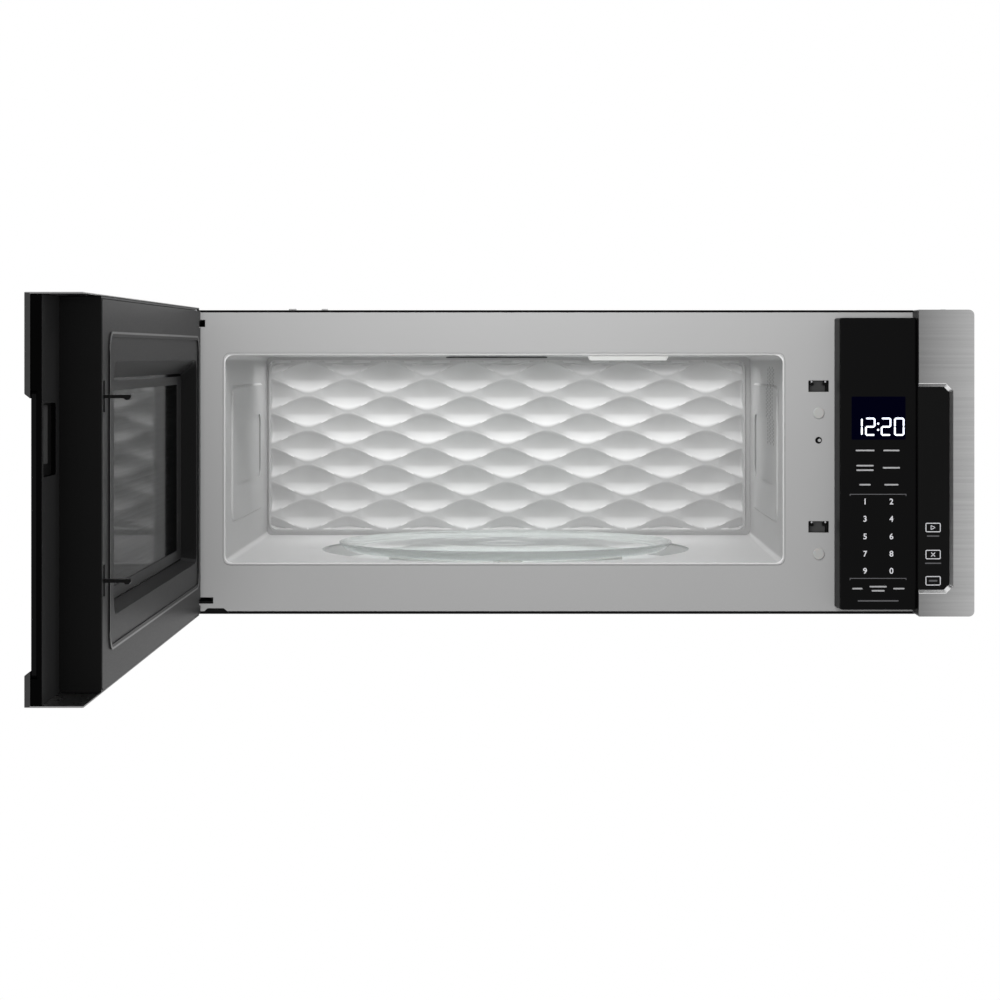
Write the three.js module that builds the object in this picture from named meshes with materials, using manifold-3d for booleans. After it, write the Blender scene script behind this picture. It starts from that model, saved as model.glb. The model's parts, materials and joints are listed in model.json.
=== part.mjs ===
// Low-profile over-the-range microwave hood, 30-inch class, drawn with its door swung open.
// Millimetres. X points right, Y points to the wall, Z points up. The origin lies on the wall
// plane, in the middle of the width and the height. The door and all that it carries are drawn
// closed and then turned about the hinge pins.

import * as THREE from "three";
import { mergeVertices } from "three/addons/utils/BufferGeometryUtils.js";
import Module from "manifold-3d";

const wasm = await Module();
wasm.setup();

// ---------------------------------------------------------------- driving dimensions

const GAP = 0.3; // between pieces that touch or are seated on each other
const CUT = 1; // how far a cutting tool runs past the face that it opens
const ROUND = 2; // half the chords in each quarter of a small corner

// Cabinet
const BODY_W = 759;
const BODY_H = 285.2;
const BODY_D = 420;
const SHEET = 1;
const FLANGE = 12;
const PLATE_T = 1.5;
const PLATE_TOP_INSET = 2.1;
const PLATE_BOTTOM_INSET = 2.5;
const WALL_PLATE_T = 1.5;
const WALL_PLATE_INSET_X = 14;
const WALL_PLATE_INSET_Z = 12;
const WALL_SCREW_X = [-300, -140, 0, 140, 300];
const WALL_SCREW_DROP = 30;
const WALL_SCREW_R = 3.5;
const WALL_WINDOW_X = [-240, 240];
const WALL_WINDOW_W = 150;
const WALL_WINDOW_FOOT = 90;
const WALL_WINDOW_HEAD = 60;
const CABINET_BOLT_FROM_SIDE = 60;
const CABINET_BOLT_FROM_FRONT = 80;
const CABINET_BOLT_R = 4.5;
const CORD_HOLE_FROM_SIDE = 70;
const CORD_HOLE_FROM_BACK = 60;
const CORD_HOLE_R = 11;
const TABS = [
  { x: -283, width: 8 },
  { x: -249, width: 6.4 },
]; // on the cover's top, near the wall
const TAB_FROM_WALL = 58.5;
const TAB_T = 1.5;
const TAB_RISE = 6.6;
const NOTCH_FROM_END = 41.2; // in the lower edge of the front plate
const NOTCH_W = 24;
const NOTCH_H = 2.8;
const NOTCH_SLANT = 4.5;

// Right end of the front: latch column, keypad and steel end strip
const STRIP_W = 51.5;
const KEYPAD_W = 73.1;
const KEYPAD_D = 30;
const KEYPAD_WALL = 2.5;
const KEYPAD_TOP_INSET = 7.5;
const KEYPAD_BOTTOM_INSET = 6.5;
const KEYPAD_SLANT = 2.2;
const LATCH_TO_KEYPAD = 14.7;
const LATCH_Z = [71.2, -60.9];
const LATCH_SLOT_W = 19;
const LATCH_SLOT_H = 10.7;
const PLUG_Z = [46, -86.3];
const PLUG_R = 5.75;
const PLUG_HEAD = 1.1;
const SIGHT_HOLE_Z = 20.4;
const SIGHT_HOLE_R = 3.25;

// Cavity
const CAVITY_LEFT = 61.8;
const CAVITY_TO_LATCH = 33.2;
const CAVITY_ABOVE = 41.8;
const CAVITY_BELOW = 47.5;
const CAVITY_BEHIND = 35;
const CAVITY_R = 5;
const CAVITY_T = 1.2;
const CAVITY_LIP = 0.6;
const DRAFT_LEFT = 5.2;
const DRAFT_RIGHT = 2;
const DRAFT_TOP = 2.8;
const DRAFT_FLOOR = 2.6;

// Turntable
const TRAY_R = 167;
const TRAY_T = 5;
const TRAY_RIM = 5.4;
const RECESS_R = 184;
const RECESS_DEPTH = 14;
const TURN_FROM_FRONT = 193;
const ROLLER_R = 5.5;
const ROLLER_W = 7;
const ROLLER_BORE = 2.2;
const ROLLER_PIN = 1.6;
const RING_R = 112;
const RING_W = 11;
const RING_T = 4;
const HUB_R = 17;
const SHAFT_R = 4;
const SHAFT_CLEARANCE = 0.5;
const TURN_MOTOR_R = 26;
const TURN_MOTOR_H = 19;

// Quilted rear wall of the cavity
const QUILT_COLUMNS = 6;
const QUILT_ROWS = 10;
const QUILT_DEPTH = 7;
const QUILT_NECK = 4.5;
const QUILT_LAND = 1.2;
const QUILT_STEP = 2.5;
const QUILT_BASE = 2;
const QUILT_MARGIN_X = 6.7;
const QUILT_MARGIN_Z = 6.2;
const QUILT_R = 9;
const QUILT_BORDER = 2.5;
const BACK_FLANGE = 9;

// Door
const DOOR_T = 42.5;
const DOOR_GAP = 1.5;
const DOOR_TO_STRIP = 2;
const DOOR_ABOVE_TOP = 1.9;
const DOOR_ABOVE_FOOT = 0.85;
const DOOR_FLANGE = 41;
const DOOR_THICK_TO_KEYPAD = 4.6;
const DOOR_THIN = 12.2;
const PIVOT_FROM_END = 8;
const SKIN_T = 1.2;
const GLASS_SINK = 4.5;
const GLASS_T = 4;
const GLASS_LAP = 2;
const DOOR_WALL = 1.6;
const COVER_T = 3;
const COVER_SUNK = 0.5;
const WINDOW_FROM_HINGE_END = 35.5;
const WINDOW_FROM_STEP = 59.5;
const WINDOW_FROM_FOOT = 51.4;
const WINDOW_FROM_HEAD = 47.5;
const WINDOW_DEPTH = 14;
const WINDOW_SIDE_BEVEL = 4;
const WINDOW_FOOT_BEVEL = 3.5;
const WINDOW_HEAD_BEVEL = 14.5;
const WINDOW_R = 12;
const VIEW_R = 8;
const BEAD = 1.2;
const BEAD_W = 4;
const BEAD_R = 14;
const BEAD_FROM_HINGE_END = 24;
const BEAD_FROM_STEP = 33;
const BEAD_FROM_FOOT = 27.7;
const BEAD_FROM_HEAD = 26.5;
const BAND_TOP = 70.25;
const BAND_BOTTOM = 22;
const BAND_LEFT = 28;
const BAND_BEVEL = 3.4;
const BAND_CORNER = 6.5;
const HOOK_T = 2.4;
const HOOK_W = 6;
const HOOK_BARB = 1.2;
const HOOK_REACH = 19.6;
const HOOK_SLOT_H = 22.7;
const HOOK_SLOT_W = 8.4;
const LATCH_BAR_W = 13;
const LATCH_BAR_T = 4;

// Hinges
const HINGE_ARM_T = 3;
const HINGE_ARM_W = 8;
const HINGE_FROM_DOOR_END = 15.6;
const HINGE_PIN_R = 3;
const HINGE_PIN_L = 7;
const HINGE_PIN_CLEARANCE = 0.3;
const HINGE_PLATE_W = 26;
const HINGE_PLATE_H = 26;

// Hood and inner parts
const EXHAUST_W = 254;
const EXHAUST_D = 82.5;
const EXHAUST_FROM_WALL = 12;
const FILTER_W = 220;
const FILTER_D = 130;
const FILTER_T = 7;
const LAMP_W = 62;
const LAMP_D = 36;
const BLOWER_R = 40;
const BLOWER_W = 50;
const BLOWER_BLADES = 10;
const FAN_R = 45;
const FAN_BLADES = 5;
const MAGNETRON_W = 78;
const MAGNETRON_FINS = 5;
const WAVEGUIDE_H = 32;
const WAVEGUIDE_D = 88;
const WAVEGUIDE_FROM_WALL = 142;
const FEED_LEFT_OF_TURN = 60;
const FEED_W = 102;
const FEED_EDGE = 6;
const POWER_TO_CAVITY = 14; // from the cavity's right wall to the power parts
const POWER_W = 90;
const ANTENNA_FROM_CAVITY = 58;
const CAVITY_LAMP_RIGHT_OF_TURN = 81.5;
const CAVITY_LAMP_W = 79;
const CAVITY_LAMP_D = 40;
const CAVITY_LAMP_TO_FEED = 30;

// ---------------------------------------------------------------- shared places

const LEFT = -BODY_W / 2;
const RIGHT = BODY_W / 2;
const TOP = BODY_H / 2;
const BOTTOM = -BODY_H / 2;
const FRONT = -BODY_D;
const BACK = -(WALL_PLATE_T + GAP);
const INNER_LEFT = LEFT + SHEET + GAP;
const INNER_RIGHT = RIGHT - SHEET - GAP;
const PLATE_BACK = FRONT + PLATE_T;
const REAR_FRONT = BACK - SHEET;

const STRIP_LEFT = RIGHT - STRIP_W;
const KEYPAD_RIGHT = STRIP_LEFT - GAP;
const KEYPAD_LEFT = KEYPAD_RIGHT - KEYPAD_W;
const LATCH_X = KEYPAD_LEFT - LATCH_TO_KEYPAD;

const CAVITY_X0 = LEFT + CAVITY_LEFT;
const CAVITY_X1 = LATCH_X - CAVITY_TO_LATCH;
const CAVITY_Z0 = BOTTOM + CAVITY_BELOW;
const CAVITY_Z1 = TOP - CAVITY_ABOVE;
const CAVITY_BACK = -CAVITY_BEHIND;
const CAVITY_FRONT = FRONT - CAVITY_LIP;

const TURN_X = (CAVITY_X0 + CAVITY_X1) / 2;
const TURN_Y = FRONT + TURN_FROM_FRONT;
const RECESS_Z = CAVITY_Z0 + DRAFT_FLOOR / 2 - RECESS_DEPTH;
const TRAY_Z = RECESS_Z + 2 * GAP + 2 * ROLLER_R;

const DOOR_LEFT = LEFT;
const DOOR_RIGHT = STRIP_LEFT - DOOR_TO_STRIP;
const DOOR_TOP = TOP + DOOR_ABOVE_TOP;
const DOOR_BOTTOM = BOTTOM + DOOR_ABOVE_FOOT;
const DOOR_INNER = FRONT - DOOR_GAP;
const DOOR_OUTER = DOOR_INNER - DOOR_T;
const PIVOT_X = DOOR_LEFT + PIVOT_FROM_END;
const PIVOT_Y = DOOR_OUTER + PIVOT_FROM_END;
const THICK_RIGHT = KEYPAD_LEFT - DOOR_THICK_TO_KEYPAD;
const HINGE_Z = DOOR_TOP - HINGE_FROM_DOOR_END;

// ---------------------------------------------------------------- solids

// A closed three.js geometry as a solid that can be joined and cut.
function solid(geometry) {
  const bare = new THREE.BufferGeometry();
  bare.setAttribute("position", geometry.getAttribute("position"));
  bare.setIndex(geometry.index);
  const merged = mergeVertices(bare);
  const made = new wasm.Mesh({
    numProp: 3,
    vertProperties: merged.getAttribute("position").array,
    triVerts: new Uint32Array(merged.index.array),
  });
  return new wasm.Manifold(made);
}

// The solid as a three.js geometry again.
function geometryOf(made) {
  const { vertProperties, triVerts } = made.getMesh();
  const geometry = new THREE.BufferGeometry();
  geometry.setAttribute("position", new THREE.BufferAttribute(vertProperties, 3));
  geometry.setIndex(new THREE.BufferAttribute(triVerts, 1));
  const flat = geometry.toNonIndexed();
  flat.computeVertexNormals();
  return flat;
}

// A rectangle with round corners, as a three.js shape.
function rounded([u0, u1], [v0, v1], r = 0) {
  const shape = new THREE.Shape();
  if (r <= 0) {
    shape.moveTo(u0, v0);
    shape.lineTo(u1, v0);
    shape.lineTo(u1, v1);
    shape.lineTo(u0, v1);
    return shape;
  }
  shape.absarc(u0 + r, v0 + r, r, Math.PI, 1.5 * Math.PI);
  shape.absarc(u1 - r, v0 + r, r, 1.5 * Math.PI, 2 * Math.PI);
  shape.absarc(u1 - r, v1 - r, r, 0, 0.5 * Math.PI);
  shape.absarc(u0 + r, v1 - r, r, 0.5 * Math.PI, Math.PI);
  return shape;
}

// A closed outline through the given points.
function outline(points) {
  return new THREE.Shape(points.map(([u, v]) => new THREE.Vector2(u, v)));
}

function extruded(shape, length, chords) {
  return new THREE.ExtrudeGeometry(shape, {
    depth: length,
    bevelEnabled: false,
    curveSegments: chords,
  });
}

// A shape in the X-Y plane, raised from z0 to z1.
function slabZ(shape, [z0, z1], chords = ROUND) {
  return solid(extruded(shape, z1 - z0, chords).translate(0, 0, z0));
}

// A shape in the X-Z plane, as seen from the front, from depth y0 to depth y1.
function slabY(shape, [y0, y1], chords = ROUND) {
  return solid(extruded(shape, y1 - y0, chords).rotateX(Math.PI / 2).translate(0, y1, 0));
}

// A shape in the Y-Z plane, from x0 to x1.
function slabX(shape, [x0, x1], chords = ROUND) {
  const turn = new THREE.Matrix4().makeBasis(
    new THREE.Vector3(0, 1, 0),
    new THREE.Vector3(0, 0, 1),
    new THREE.Vector3(1, 0, 0),
  );
  return solid(extruded(shape, x1 - x0, chords).applyMatrix4(turn).translate(x0, 0, 0));
}

function block([x0, x1], [y0, y1], [z0, z1]) {
  const box = new THREE.BoxGeometry(x1 - x0, y1 - y0, z1 - z0);
  return solid(box.translate((x0 + x1) / 2, (y0 + y1) / 2, (z0 + z1) / 2));
}

// Round bars along each axis. The place is the pair of the other two coordinates.
function rodZ([x, y], r, [z0, z1], chords = 16) {
  const bar = new THREE.CylinderGeometry(r, r, z1 - z0, chords).rotateX(Math.PI / 2);
  return solid(bar.translate(x, y, (z0 + z1) / 2));
}

function rodY([x, z], r, [y0, y1], chords = 16) {
  const bar = new THREE.CylinderGeometry(r, r, y1 - y0, chords);
  return solid(bar.translate(x, (y0 + y1) / 2, z));
}

function rodX([y, z], r, [x0, x1], chords = 16) {
  const bar = new THREE.CylinderGeometry(r, r, x1 - x0, chords).rotateZ(Math.PI / 2);
  return solid(bar.translate((x0 + x1) / 2, y, z));
}

// A closed skin through rings of points with as many points each. The ends are convex, and the
// rings may be given in either order.
function loft(rings) {
  const count = rings[0].length;
  const index = [];
  for (let level = 0; level + 1 < rings.length; level += 1) {
    for (let i = 0; i < count; i += 1) {
      const a = level * count + i;
      const b = level * count + ((i + 1) % count);
      index.push(a, a + count, b, b, a + count, b + count);
    }
  }
  const last = (rings.length - 1) * count;
  for (let i = 1; i + 1 < count; i += 1) {
    index.push(0, i, i + 1, last, last + i + 1, last + i);
  }
  const geometry = new THREE.BufferGeometry().setFromPoints(rings.flat());
  geometry.setIndex(index);
  const made = solid(geometry);
  if (made.volume() > 0) return made;
  geometry.setIndex(index.reverse());
  return solid(geometry);
}

// The points of a shape as a ring in the X-Z plane at depth y.
function ringY(shape, y, chords = ROUND) {
  const points = shape.getPoints(chords);
  if (points[0].distanceTo(points[points.length - 1]) < 1e-6) points.pop();
  return points.map((p) => new THREE.Vector3(p.x, y, p.y));
}

// The same ring in the X-Y plane at height z.
function ringZ(shape, z, chords = ROUND) {
  return ringY(shape, z, chords).map((p) => new THREE.Vector3(p.x, p.z, p.y));
}

const joined = (first, ...others) => others.reduce((sum, next) => sum.add(next), first);
const cutBy = (first, ...others) => others.reduce((left, next) => left.subtract(next), first);
const grown = ([low, high], by) => [low - by, high + by];
const around = (centre, width) => [centre - width / 2, centre + width / 2];

// ---------------------------------------------------------------- finishes

const finish = (color, roughness, metalness, extra = {}) =>
  new THREE.MeshStandardMaterial({ color, roughness, metalness, ...extra });

const brushedSteel = finish(0xb9babb, 0.34, 0.9);
const plainSteel = finish(0xa9acad, 0.42, 0.85);
const blackPaint = finish(0x1a1a1b, 0.45, 0.2);
const greyEnamel = finish(0xa6a7a8, 0.4, 0.1);
const whiteEnamel = finish(0xd9dadb, 0.28, 0.05);
const blackPlastic = finish(0x161617, 0.38, 0);
const greyPlastic = finish(0x3c3d3f, 0.55, 0);
const palePlastic = finish(0xdedfdd, 0.45, 0);
const blackGlass = finish(0x08090b, 0.08, 0, { transparent: true, opacity: 0.85 });
const clearGlass = finish(0xdcebe4, 0.05, 0, { transparent: true, opacity: 0.35 });
const mica = finish(0xb5b1a6, 0.6, 0);
const copper = finish(0xa2653a, 0.4, 0.7);
const greenBoard = finish(0x27593a, 0.5, 0);

const part = new THREE.Group();

// Adds a solid to a group as a named mesh.
function add(name, made, material, group = part) {
  const mesh = new THREE.Mesh(geometryOf(made), material);
  mesh.name = name;
  group.add(mesh);
  return mesh;
}

// ---------------------------------------------------------------- cabinet

const boltX = [LEFT + CABINET_BOLT_FROM_SIDE, RIGHT - CABINET_BOLT_FROM_SIDE];
const boltY = FRONT + CABINET_BOLT_FROM_FRONT;
const cordHole = [RIGHT - CORD_HOLE_FROM_SIDE, BACK - CORD_HOLE_FROM_BACK];
const exhaustX = around(0, EXHAUST_W);
const exhaustY = [-EXHAUST_FROM_WALL - EXHAUST_D, -EXHAUST_FROM_WALL];

// Top and both sides in one bent sheet, with the exhaust opening and the bolt holes.
function outerCover() {
  const skin = block([LEFT, RIGHT], [FRONT, BACK], [BOTTOM, TOP]);
  const room = block(
    [LEFT + SHEET, RIGHT - SHEET],
    [FRONT - CUT, BACK + CUT],
    [BOTTOM - CUT, TOP - SHEET],
  );
  const through = [TOP - SHEET - CUT, TOP + CUT];
  const bolts = boltX.map((x) => rodZ([x, boltY], CABINET_BOLT_R, through));
  const tabY = [-TAB_FROM_WALL - TAB_T, -TAB_FROM_WALL];
  const tabZ = [TOP - SHEET / 2, TOP + TAB_RISE];
  const tabs = TABS.map(({ x, width }) => block(around(x, width), tabY, tabZ));
  return joined(
    cutBy(
      skin,
      room,
      slabZ(rounded(exhaustX, exhaustY, 4), through),
      rodZ(cordHole, CORD_HOLE_R, through, 20),
      ...bolts,
    ),
    ...tabs,
  );
}
add("outer_cover", outerCover(), blackPaint);

const lampPlaces = [TURN_X - 190, TURN_X + 190];
const LAMP_Y = FRONT + 95;
const filterPlaces = [TURN_X - FILTER_W / 2 - 24, TURN_X + FILTER_W / 2 + 24];
const FILTER_Y = BACK - 60 - FILTER_D / 2;
const baseX = [INNER_LEFT, INNER_RIGHT];
const baseY = [FRONT, REAR_FRONT - GAP];

// Bottom sheet with turned-up edges, the filter openings and the lamp openings.
function basePan() {
  const floorZ = [BOTTOM, BOTTOM + SHEET];
  const wallZ = [BOTTOM, BOTTOM + FLANGE];
  const behindPlate = PLATE_BACK + GAP;
  const sheet = block(baseX, baseY, floorZ);
  const left = block([baseX[0], baseX[0] + SHEET], [behindPlate, baseY[1]], wallZ);
  const right = block([baseX[1] - SHEET, baseX[1]], [behindPlate, baseY[1]], wallZ);
  const front = block(baseX, [behindPlate, behindPlate + SHEET], wallZ);
  const through = [BOTTOM - CUT, BOTTOM + SHEET + CUT];
  const filters = filterPlaces.map((x) =>
    slabZ(rounded(around(x, FILTER_W - 16), around(FILTER_Y, FILTER_D - 16), 4), through),
  );
  const lamps = lampPlaces.map((x) =>
    slabZ(rounded(around(x, LAMP_W), around(LAMP_Y, LAMP_D), 3), through),
  );
  return cutBy(joined(sheet, left, right, front), ...filters, ...lamps);
}
add("base_pan", basePan(), blackPaint);

const HANGER_X = [-230, 230];
const HANGER_W = 34;
const HANGER_RISE = 9;
const HANGER_REACH = 6;
const hangerZ = BOTTOM + 26;

// Rear sheet, with the slots that drop on the wall plate's hooks.
function rearPanel() {
  const panelZ = [BOTTOM + SHEET + GAP, TOP - SHEET - GAP];
  const panel = block([INNER_LEFT, INNER_RIGHT], [REAR_FRONT, BACK], panelZ);
  const slots = HANGER_X.map((x) =>
    block(
      around(x, HANGER_W + 4),
      [REAR_FRONT - CUT, BACK + CUT],
      [hangerZ - 3, hangerZ + HANGER_RISE + 6],
    ),
  );
  return cutBy(panel, ...slots);
}

add("rear_panel", rearPanel(), plainSteel);

// Plate that is screwed to the wall, windowed over the studs, with two hooks at its foot.
function wallPlate() {
  const x = [LEFT + WALL_PLATE_INSET_X, RIGHT - WALL_PLATE_INSET_X];
  const z = [BOTTOM + WALL_PLATE_INSET_Z, TOP - WALL_PLATE_INSET_Z];
  const plate = slabY(rounded(x, z, 6), [-WALL_PLATE_T, 0]);
  const through = [-WALL_PLATE_T - CUT, CUT];
  const windowZ = [BOTTOM + WALL_WINDOW_FOOT, TOP - WALL_WINDOW_HEAD];
  const windows = WALL_WINDOW_X.map((centre) =>
    slabY(rounded(around(centre, WALL_WINDOW_W), windowZ, 8), through),
  );
  const screwHoles = WALL_SCREW_X.map((across) =>
    rodY([across, TOP - WALL_SCREW_DROP], WALL_SCREW_R, through, 8),
  );
  const tip = -WALL_PLATE_T - HANGER_REACH;
  const hooks = HANGER_X.map((centre) => {
    const across = around(centre, HANGER_W);
    const shelf = block(across, [tip, -WALL_PLATE_T / 2], [hangerZ - 1.5, hangerZ]);
    const lip = block(across, [tip, tip + 1.5], [hangerZ - 1.5, hangerZ + HANGER_RISE]);
    return shelf.add(lip);
  });
  return joined(cutBy(plate, ...windows, ...screwHoles), ...hooks);
}
add("wall_plate", wallPlate(), plainSteel);

// ---------------------------------------------------------------- front plate

const plateX = [INNER_LEFT, INNER_RIGHT];
const plateZ = [BOTTOM + PLATE_BOTTOM_INSET, TOP - PLATE_TOP_INSET];
const plateCut = [FRONT - CUT, PLATE_BACK + CUT];
const mouthX = grown([CAVITY_X0, CAVITY_X1], CAVITY_T + GAP);
const mouthZ = grown([CAVITY_Z0, CAVITY_Z1], CAVITY_T + GAP);
const armX = around(PIVOT_X, HINGE_ARM_W);

// Slots beside the hinges, level with the pins.
const STAY_SLOTS = [
  { x: [LEFT + 34.5, LEFT + 43.3], z: [HINGE_Z - 2.1, HINGE_Z + 4.5] },
  { x: [LEFT + 34.5, LEFT + 50.9], z: [-HINGE_Z - 4.1, -HINGE_Z + 1.8] },
];

function frontPlate() {
  const plate = block(plateX, [FRONT, PLATE_BACK], plateZ);
  const mouth = slabY(rounded(mouthX, mouthZ, CAVITY_R + CAVITY_T + GAP), plateCut);
  const slots = LATCH_Z.map((z) =>
    block(around(LATCH_X, LATCH_SLOT_W), plateCut, around(z, LATCH_SLOT_H)),
  );
  const plugs = PLUG_Z.map((z) => rodY([LATCH_X, z], PLUG_R - 1, plateCut));
  const sight = rodY([LATCH_X, SIGHT_HOLE_Z], SIGHT_HOLE_R, plateCut, 12);
  const arms = [HINGE_Z, -HINGE_Z].map((z) =>
    block(grown(armX, 1), plateCut, around(z, HINGE_ARM_T + 3.6)),
  );
  const stays = STAY_SLOTS.map(({ x, z }) => block(x, plateCut, z));
  const notchX = [LEFT + NOTCH_FROM_END, LEFT + NOTCH_FROM_END + NOTCH_W];
  const notch = outline([
    [notchX[0], plateZ[0] - CUT],
    [notchX[1], plateZ[0] - CUT],
    [notchX[1] - NOTCH_SLANT, plateZ[0] + NOTCH_H],
    [notchX[0] + NOTCH_SLANT, plateZ[0] + NOTCH_H],
  ]);
  return cutBy(plate, mouth, ...slots, ...plugs, sight, ...arms, ...stays, slabY(notch, plateCut));
}
add("front_plate", frontPlate(), greyEnamel);

// Push-in plugs with a low head in front of the plate and a stem through it.
function holePlug(z) {
  const profile = [
    [0, PLATE_T],
    [PLUG_R - 1.5, PLATE_T],
    [PLUG_R - 1.5, -GAP],
    [PLUG_R, -GAP],
    [PLUG_R - 0.8, -PLUG_HEAD],
    [0, -PLUG_HEAD],
  ].map(([r, y]) => new THREE.Vector2(r, y));
  return solid(new THREE.LatheGeometry(profile.reverse(), 14).translate(LATCH_X, FRONT, z));
}
add("hole_plug_upper", holePlug(PLUG_Z[0]), palePlastic);
add("hole_plug_lower", holePlug(PLUG_Z[1]), palePlastic);

// ---------------------------------------------------------------- hinges

const hingeFlangeY = [PLATE_BACK + GAP, PLATE_BACK + GAP + 1.5];

// An angle bracket behind the front plate: its arm reaches out through the plate to the pin.
function hinge(side) {
  const z = HINGE_Z * side;
  const armZ = around(z, HINGE_ARM_T);
  const arm = new THREE.Shape();
  arm.moveTo(armX[1], PIVOT_Y);
  arm.lineTo(armX[1], hingeFlangeY[1]);
  arm.lineTo(armX[0], hingeFlangeY[1]);
  arm.lineTo(armX[0], PIVOT_Y);
  arm.absarc(PIVOT_X, PIVOT_Y, HINGE_ARM_W / 2, Math.PI, 2 * Math.PI);
  const edge = z + (side * HINGE_ARM_T) / 2;
  const flangeZ = [edge, edge - side * HINGE_PLATE_H].sort((a, b) => a - b);
  const flange = block([armX[0], armX[0] + HINGE_PLATE_W], hingeFlangeY, flangeZ);
  const pinZ = [z, z + side * (HINGE_ARM_T / 2 + HINGE_PIN_L)].sort((a, b) => a - b);
  return joined(slabZ(arm, armZ), flange, rodZ([PIVOT_X, PIVOT_Y], HINGE_PIN_R, pinZ));
}
add("hinge_upper", hinge(1), blackPaint);
add("hinge_lower", hinge(-1), blackPaint);

// ---------------------------------------------------------------- cavity

const cavityDepth = CAVITY_BACK - FRONT;

// The cavity's inner section at a depth, which narrows towards the back.
function cavitySection(y, by = 0) {
  const share = (y - FRONT) / cavityDepth;
  const x = [CAVITY_X0 + DRAFT_LEFT * share, CAVITY_X1 - DRAFT_RIGHT * share];
  const z = [CAVITY_Z0 + DRAFT_FLOOR * share, CAVITY_Z1 - DRAFT_TOP * share];
  return rounded(grown(x, by), grown(z, by), CAVITY_R + by);
}

function cavityPrism(y0, y1, by) {
  return loft([ringY(cavitySection(y0, by), y0), ringY(cavitySection(y1, by), y1)]);
}

// Pressed frame on a side wall: a raised rounded band around a flat field.
const BAND_RISE = 1.6;
const BAND_SLOPE = 2;
const pressedOuter = { y: [54, 334], z: [-58.7, 69], r: 14 };
const pressedInner = { y: [78, 305], z: [-25, 38], r: 10 };

function sidePress(x0, slope, inward, frame, rise) {
  const ring = (spread, height) =>
    rounded(grown(frame.y, spread), grown(frame.z, spread), frame.r + spread)
      .getPoints(ROUND)
      .slice(0, -1)
      .map((p) => new THREE.Vector3(x0 + slope * p.x + inward * height, FRONT + p.x, p.y));
  return loft([ring(BAND_SLOPE, -CAVITY_T / 2), ring(BAND_SLOPE, 0), ring(0, rise)]);
}

function cavityShell() {
  const walls = cavityPrism(CAVITY_FRONT, CAVITY_BACK, CAVITY_T);
  const room = cavityPrism(CAVITY_FRONT - CUT, CAVITY_BACK + CUT, 0);
  const recessTop = CAVITY_Z0 + DRAFT_FLOOR + CUT;
  const centre = [TURN_X, TURN_Y];
  const cup = rodZ(centre, RECESS_R + CAVITY_T, [RECESS_Z - CAVITY_T, CAVITY_Z0], 48);
  const bowl = rodZ(centre, RECESS_R, [RECESS_Z, recessTop], 48);
  const eye = rodZ(centre, SHAFT_R + SHAFT_CLEARANCE + 2, [RECESS_Z - 2 * CUT, RECESS_Z + CUT]);
  const feed = block(
    grown(feedX, -FEED_EDGE),
    grown(waveguideY, -2 * FEED_EDGE),
    [CAVITY_Z1 - DRAFT_TOP - CUT, CAVITY_Z1 + CAVITY_T + CUT],
  );
  const slopes = [DRAFT_LEFT / cavityDepth, -DRAFT_RIGHT / cavityDepth];
  const presses = [
    [CAVITY_X0, slopes[0], 1],
    [CAVITY_X1, slopes[1], -1],
  ].map(([x, slope, inward]) =>
    cutBy(
      sidePress(x, slope, inward, pressedOuter, BAND_RISE),
      sidePress(x, slope, inward, pressedInner, BAND_RISE + CUT).intersect(
        cavityPrism(FRONT, CAVITY_BACK, -0.05),
      ),
    ),
  );
  return cutBy(joined(walls.add(cup).subtract(room), ...presses), bowl, eye, feed);
}

// ---------------------------------------------------------------- waveguide and lamp

const feedX = [TURN_X - FEED_LEFT_OF_TURN, TURN_X - FEED_LEFT_OF_TURN + FEED_W];
const waveguideY = [-WAVEGUIDE_FROM_WALL - WAVEGUIDE_D, -WAVEGUIDE_FROM_WALL];
const waveguideZ = [CAVITY_Z1 + CAVITY_T + GAP, CAVITY_Z1 + CAVITY_T + GAP + WAVEGUIDE_H];
const powerX = [CAVITY_X1 + POWER_TO_CAVITY, CAVITY_X1 + POWER_TO_CAVITY + POWER_W];
const antenna = [CAVITY_X1 + ANTENNA_FROM_CAVITY, (waveguideY[0] + waveguideY[1]) / 2];

// Sheet-metal duct over the ceiling, open to the feed window and to the magnetron's antenna.
function waveguide() {
  const x = [feedX[0] - 4, powerX[1]];
  const duct = block(x, waveguideY, waveguideZ);
  const inside = block(
    grown(x, -CAVITY_T),
    grown(waveguideY, -CAVITY_T),
    grown(waveguideZ, -CAVITY_T),
  );
  const foot = [waveguideZ[0] - CUT, waveguideZ[0] + CAVITY_T + CUT];
  const window = block(grown(feedX, -FEED_EDGE), grown(waveguideY, -2 * FEED_EDGE), foot);
  return cutBy(duct, inside, window, rodZ(antenna, 14, foot, 20));
}

add("cavity_shell", cavityShell(), whiteEnamel);
add("waveguide", waveguide(), plainSteel);

// Flat cover under the feed window, clipped to the ceiling.
const ceilingAt = (y) => CAVITY_Z1 - (DRAFT_TOP * (y - FRONT)) / cavityDepth;

function waveguideCover() {
  const z = ceilingAt(waveguideY[1]) - GAP;
  return slabZ(rounded(feedX, waveguideY, 6), [z - 1.2, z]);
}
add("waveguide_cover", waveguideCover(), mica);

// Low lens on the ceiling in front of the feed window.
const cavityLampLeft = TURN_X + CAVITY_LAMP_RIGHT_OF_TURN;
const cavityLampBack = waveguideY[0] - CAVITY_LAMP_TO_FEED;
const cavityLampX = [cavityLampLeft, cavityLampLeft + CAVITY_LAMP_W];
const cavityLampY = [cavityLampBack - CAVITY_LAMP_D, cavityLampBack];
const CAVITY_LAMP_DROP = 4.2;

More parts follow.
